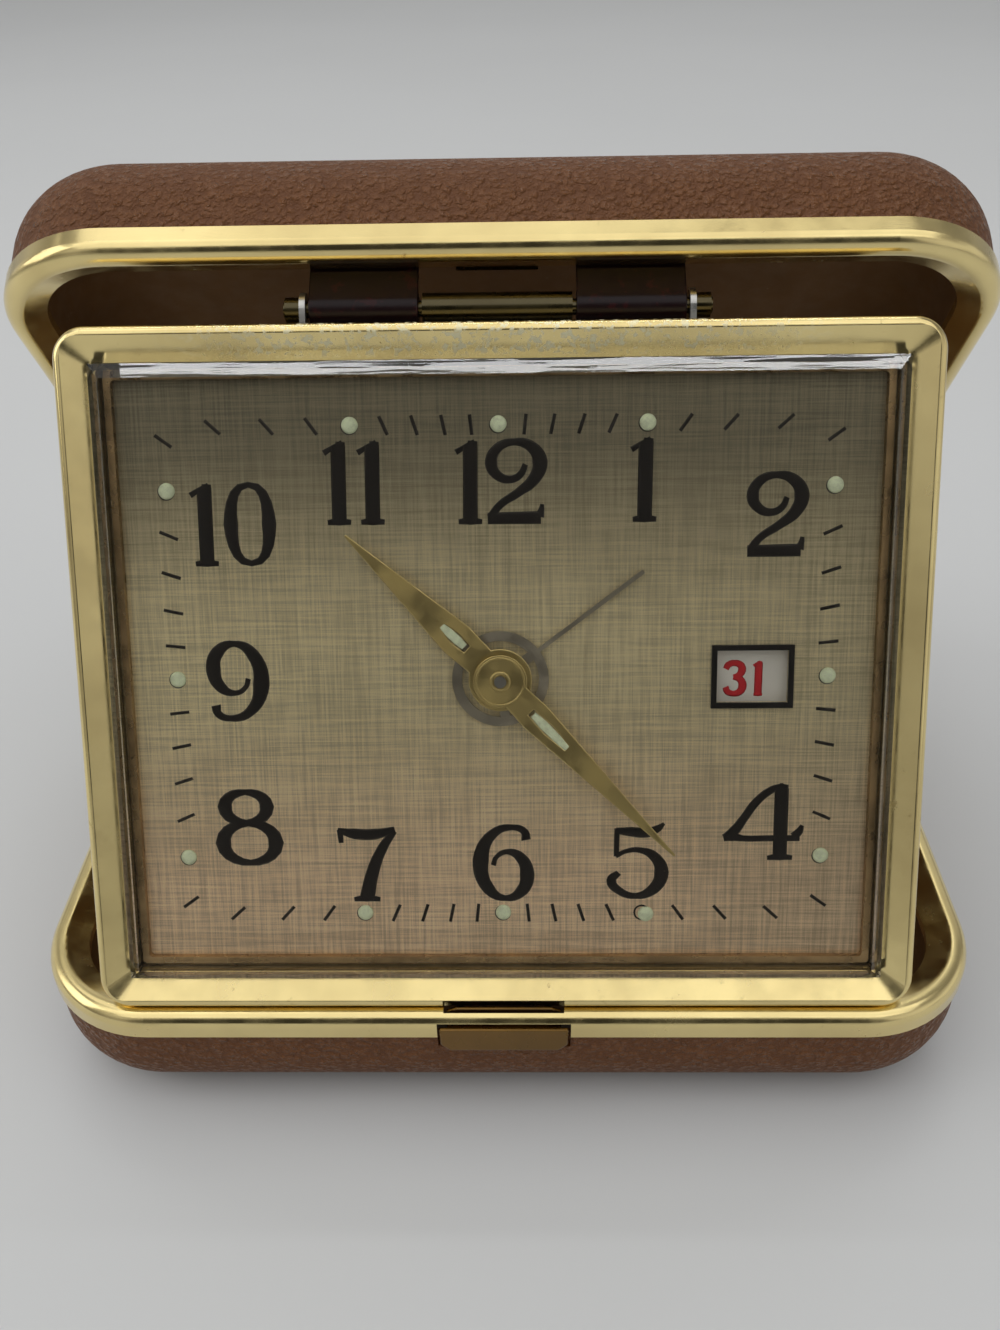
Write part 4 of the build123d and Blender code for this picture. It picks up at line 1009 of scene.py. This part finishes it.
def hang_lamp(name, place, size, watts):
    """A soft box that faces the clock."""
    lamp = bpy.data.lights.new(name, "AREA")
    lamp.shape = "RECTANGLE"
    lamp.size, lamp.size_y = size
    lamp.energy = watts * stage().lamp_strength
    holder = add_object(name, lamp)
    holder.location = place
    holder.rotation_euler = (LAMPS_AIM - Vector(place)).to_track_quat("-Z", "Y").to_euler()


def light_room():
    """Light from all round, and a plain background for the camera."""
    world = bpy.data.worlds.new("room")
    world.use_nodes = True
    made = Nodes(world.node_tree, "Generated")
    walls = made.node("ShaderNodeValToRGB", {"Fac": made.noise(1.7, detail=1.5, roughness=0.5)})
    for stop, (position, tone) in zip(walls.color_ramp.elements, WALL_STOPS):
        stop.position = position
        stop.color = tone
    sides = {0: made.place, 1: CARD_SIDE}
    facing = made.node("ShaderNodeVectorMath", sides, operation="DOT_PRODUCT")
    card = made.span(facing.outputs["Value"], 0.84, 0.95)
    mirrored = made.blend(card, walls.outputs["Color"], CARD_TONE)
    seen = made.node("ShaderNodeLightPath").outputs["Is Camera Ray"]
    ground = made.tree.nodes["Background"]
    made.feed(ground.inputs["Color"], made.blend(seen, mirrored, BACKGROUND))
    made.feed(ground.inputs["Strength"], stage().world_strength)
    bpy.context.scene.world = world


class TRAVELCLOCK_OT_stage(Operator):
    """Lays the floor and hangs the lamps"""

    bl_idname = "travelclock.stage"
    bl_label = "Floor and lamps"

    def execute(self, context):
        lay_floor()
        for lamp in LAMPS:
            hang_lamp(*lamp)
        light_room()
        context.scene.view_settings.view_transform = "Standard"
        return {"FINISHED"}


# The camera's place in mm, its turns in radians, and its lens in steps of the frame's height.
CAMERA_PLACE = Vector((2.585, -121.27, 119.52))
CAMERA_PITCH, CAMERA_YAW, CAMERA_ROLL = 0.62696, -0.026769, 0.022427
FRAME_HEIGHT = 1330
FOCAL_LENGTH = 1191.53
SENSOR_HEIGHT = 36.0


class TRAVELCLOCK_OT_camera(Operator):
    """Sets the camera above and in front of the opened clock"""

    bl_idname = "travelclock.camera"
    bl_label = "Camera"

    def execute(self, context):
        pitch, yaw, roll = CAMERA_PITCH, CAMERA_YAW, CAMERA_ROLL
        flat = math.cos(pitch)
        forward = Vector((math.sin(yaw) * flat, math.cos(yaw) * flat, -math.sin(pitch)))
        level = Vector((math.cos(yaw), -math.sin(yaw), 0))
        down = forward.cross(level)
        right = math.cos(roll) * level + math.sin(roll) * down
        under = -math.sin(roll) * level + math.cos(roll) * down
        turn = Matrix((right, -under, -forward)).transposed().to_4x4()
        view = bpy.data.cameras.new("camera")
        view.sensor_fit = "VERTICAL"
        view.sensor_height = SENSOR_HEIGHT
        view.lens = SENSOR_HEIGHT * FOCAL_LENGTH / FRAME_HEIGHT
        view.clip_start = 0.01
        camera = add_object("camera", view)
        camera.matrix_world = Matrix.Translation(CAMERA_PLACE * MM) @ turn
        context.scene.camera = camera
        return {"FINISHED"}


STEPS = [
    TRAVELCLOCK_OT_finishes,
    TRAVELCLOCK_OT_soft_edges,
    TRAVELCLOCK_OT_dial_print,
    TRAVELCLOCK_OT_dots,
    TRAVELCLOCK_OT_dates,
    TRAVELCLOCK_OT_stage,
    TRAVELCLOCK_OT_camera,
]


class TRAVELCLOCK_PT_panel(Panel):
    """The clock's steps and settings in the sidebar"""

    bl_idname = "TRAVELCLOCK_PT_panel"
    bl_label = "Travel Clock"
    bl_space_type = "VIEW_3D"
    bl_region_type = "UI"
    bl_category = "Travel Clock"

    def draw(self, context):
        column = self.layout.column()
        for step in STEPS:
            column.operator(step.bl_idname)
        for group in (sizes(), colours(), stage()):
            box = self.layout.box()
            for key in group.__annotations__:
                box.prop(group, key)


CLASSES = [
    TRAVELCLOCK_PG_sizes,
    TRAVELCLOCK_PG_colours,
    TRAVELCLOCK_PG_stage,
    *STEPS,
    TRAVELCLOCK_PT_panel,
]


def register():
    """Adds the steps, the settings and the panel."""
    for kind in CLASSES:
        bpy.utils.register_class(kind)
    bpy.types.Scene.travelclock_sizes = PointerProperty(type=TRAVELCLOCK_PG_sizes)
    bpy.types.Scene.travelclock_colours = PointerProperty(type=TRAVELCLOCK_PG_colours)
    bpy.types.Scene.travelclock_stage = PointerProperty(type=TRAVELCLOCK_PG_stage)


def unregister():
    """Takes them away again."""
    del bpy.types.Scene.travelclock_sizes
    del bpy.types.Scene.travelclock_colours
    del bpy.types.Scene.travelclock_stage
    for kind in reversed(CLASSES):
        bpy.utils.unregister_class(kind)


def main():
    register()
    for step in STEPS:
        group, name = step.bl_idname.split(".")
        getattr(getattr(bpy.ops, group), name)()


if __name__ == "__main__":
    main()
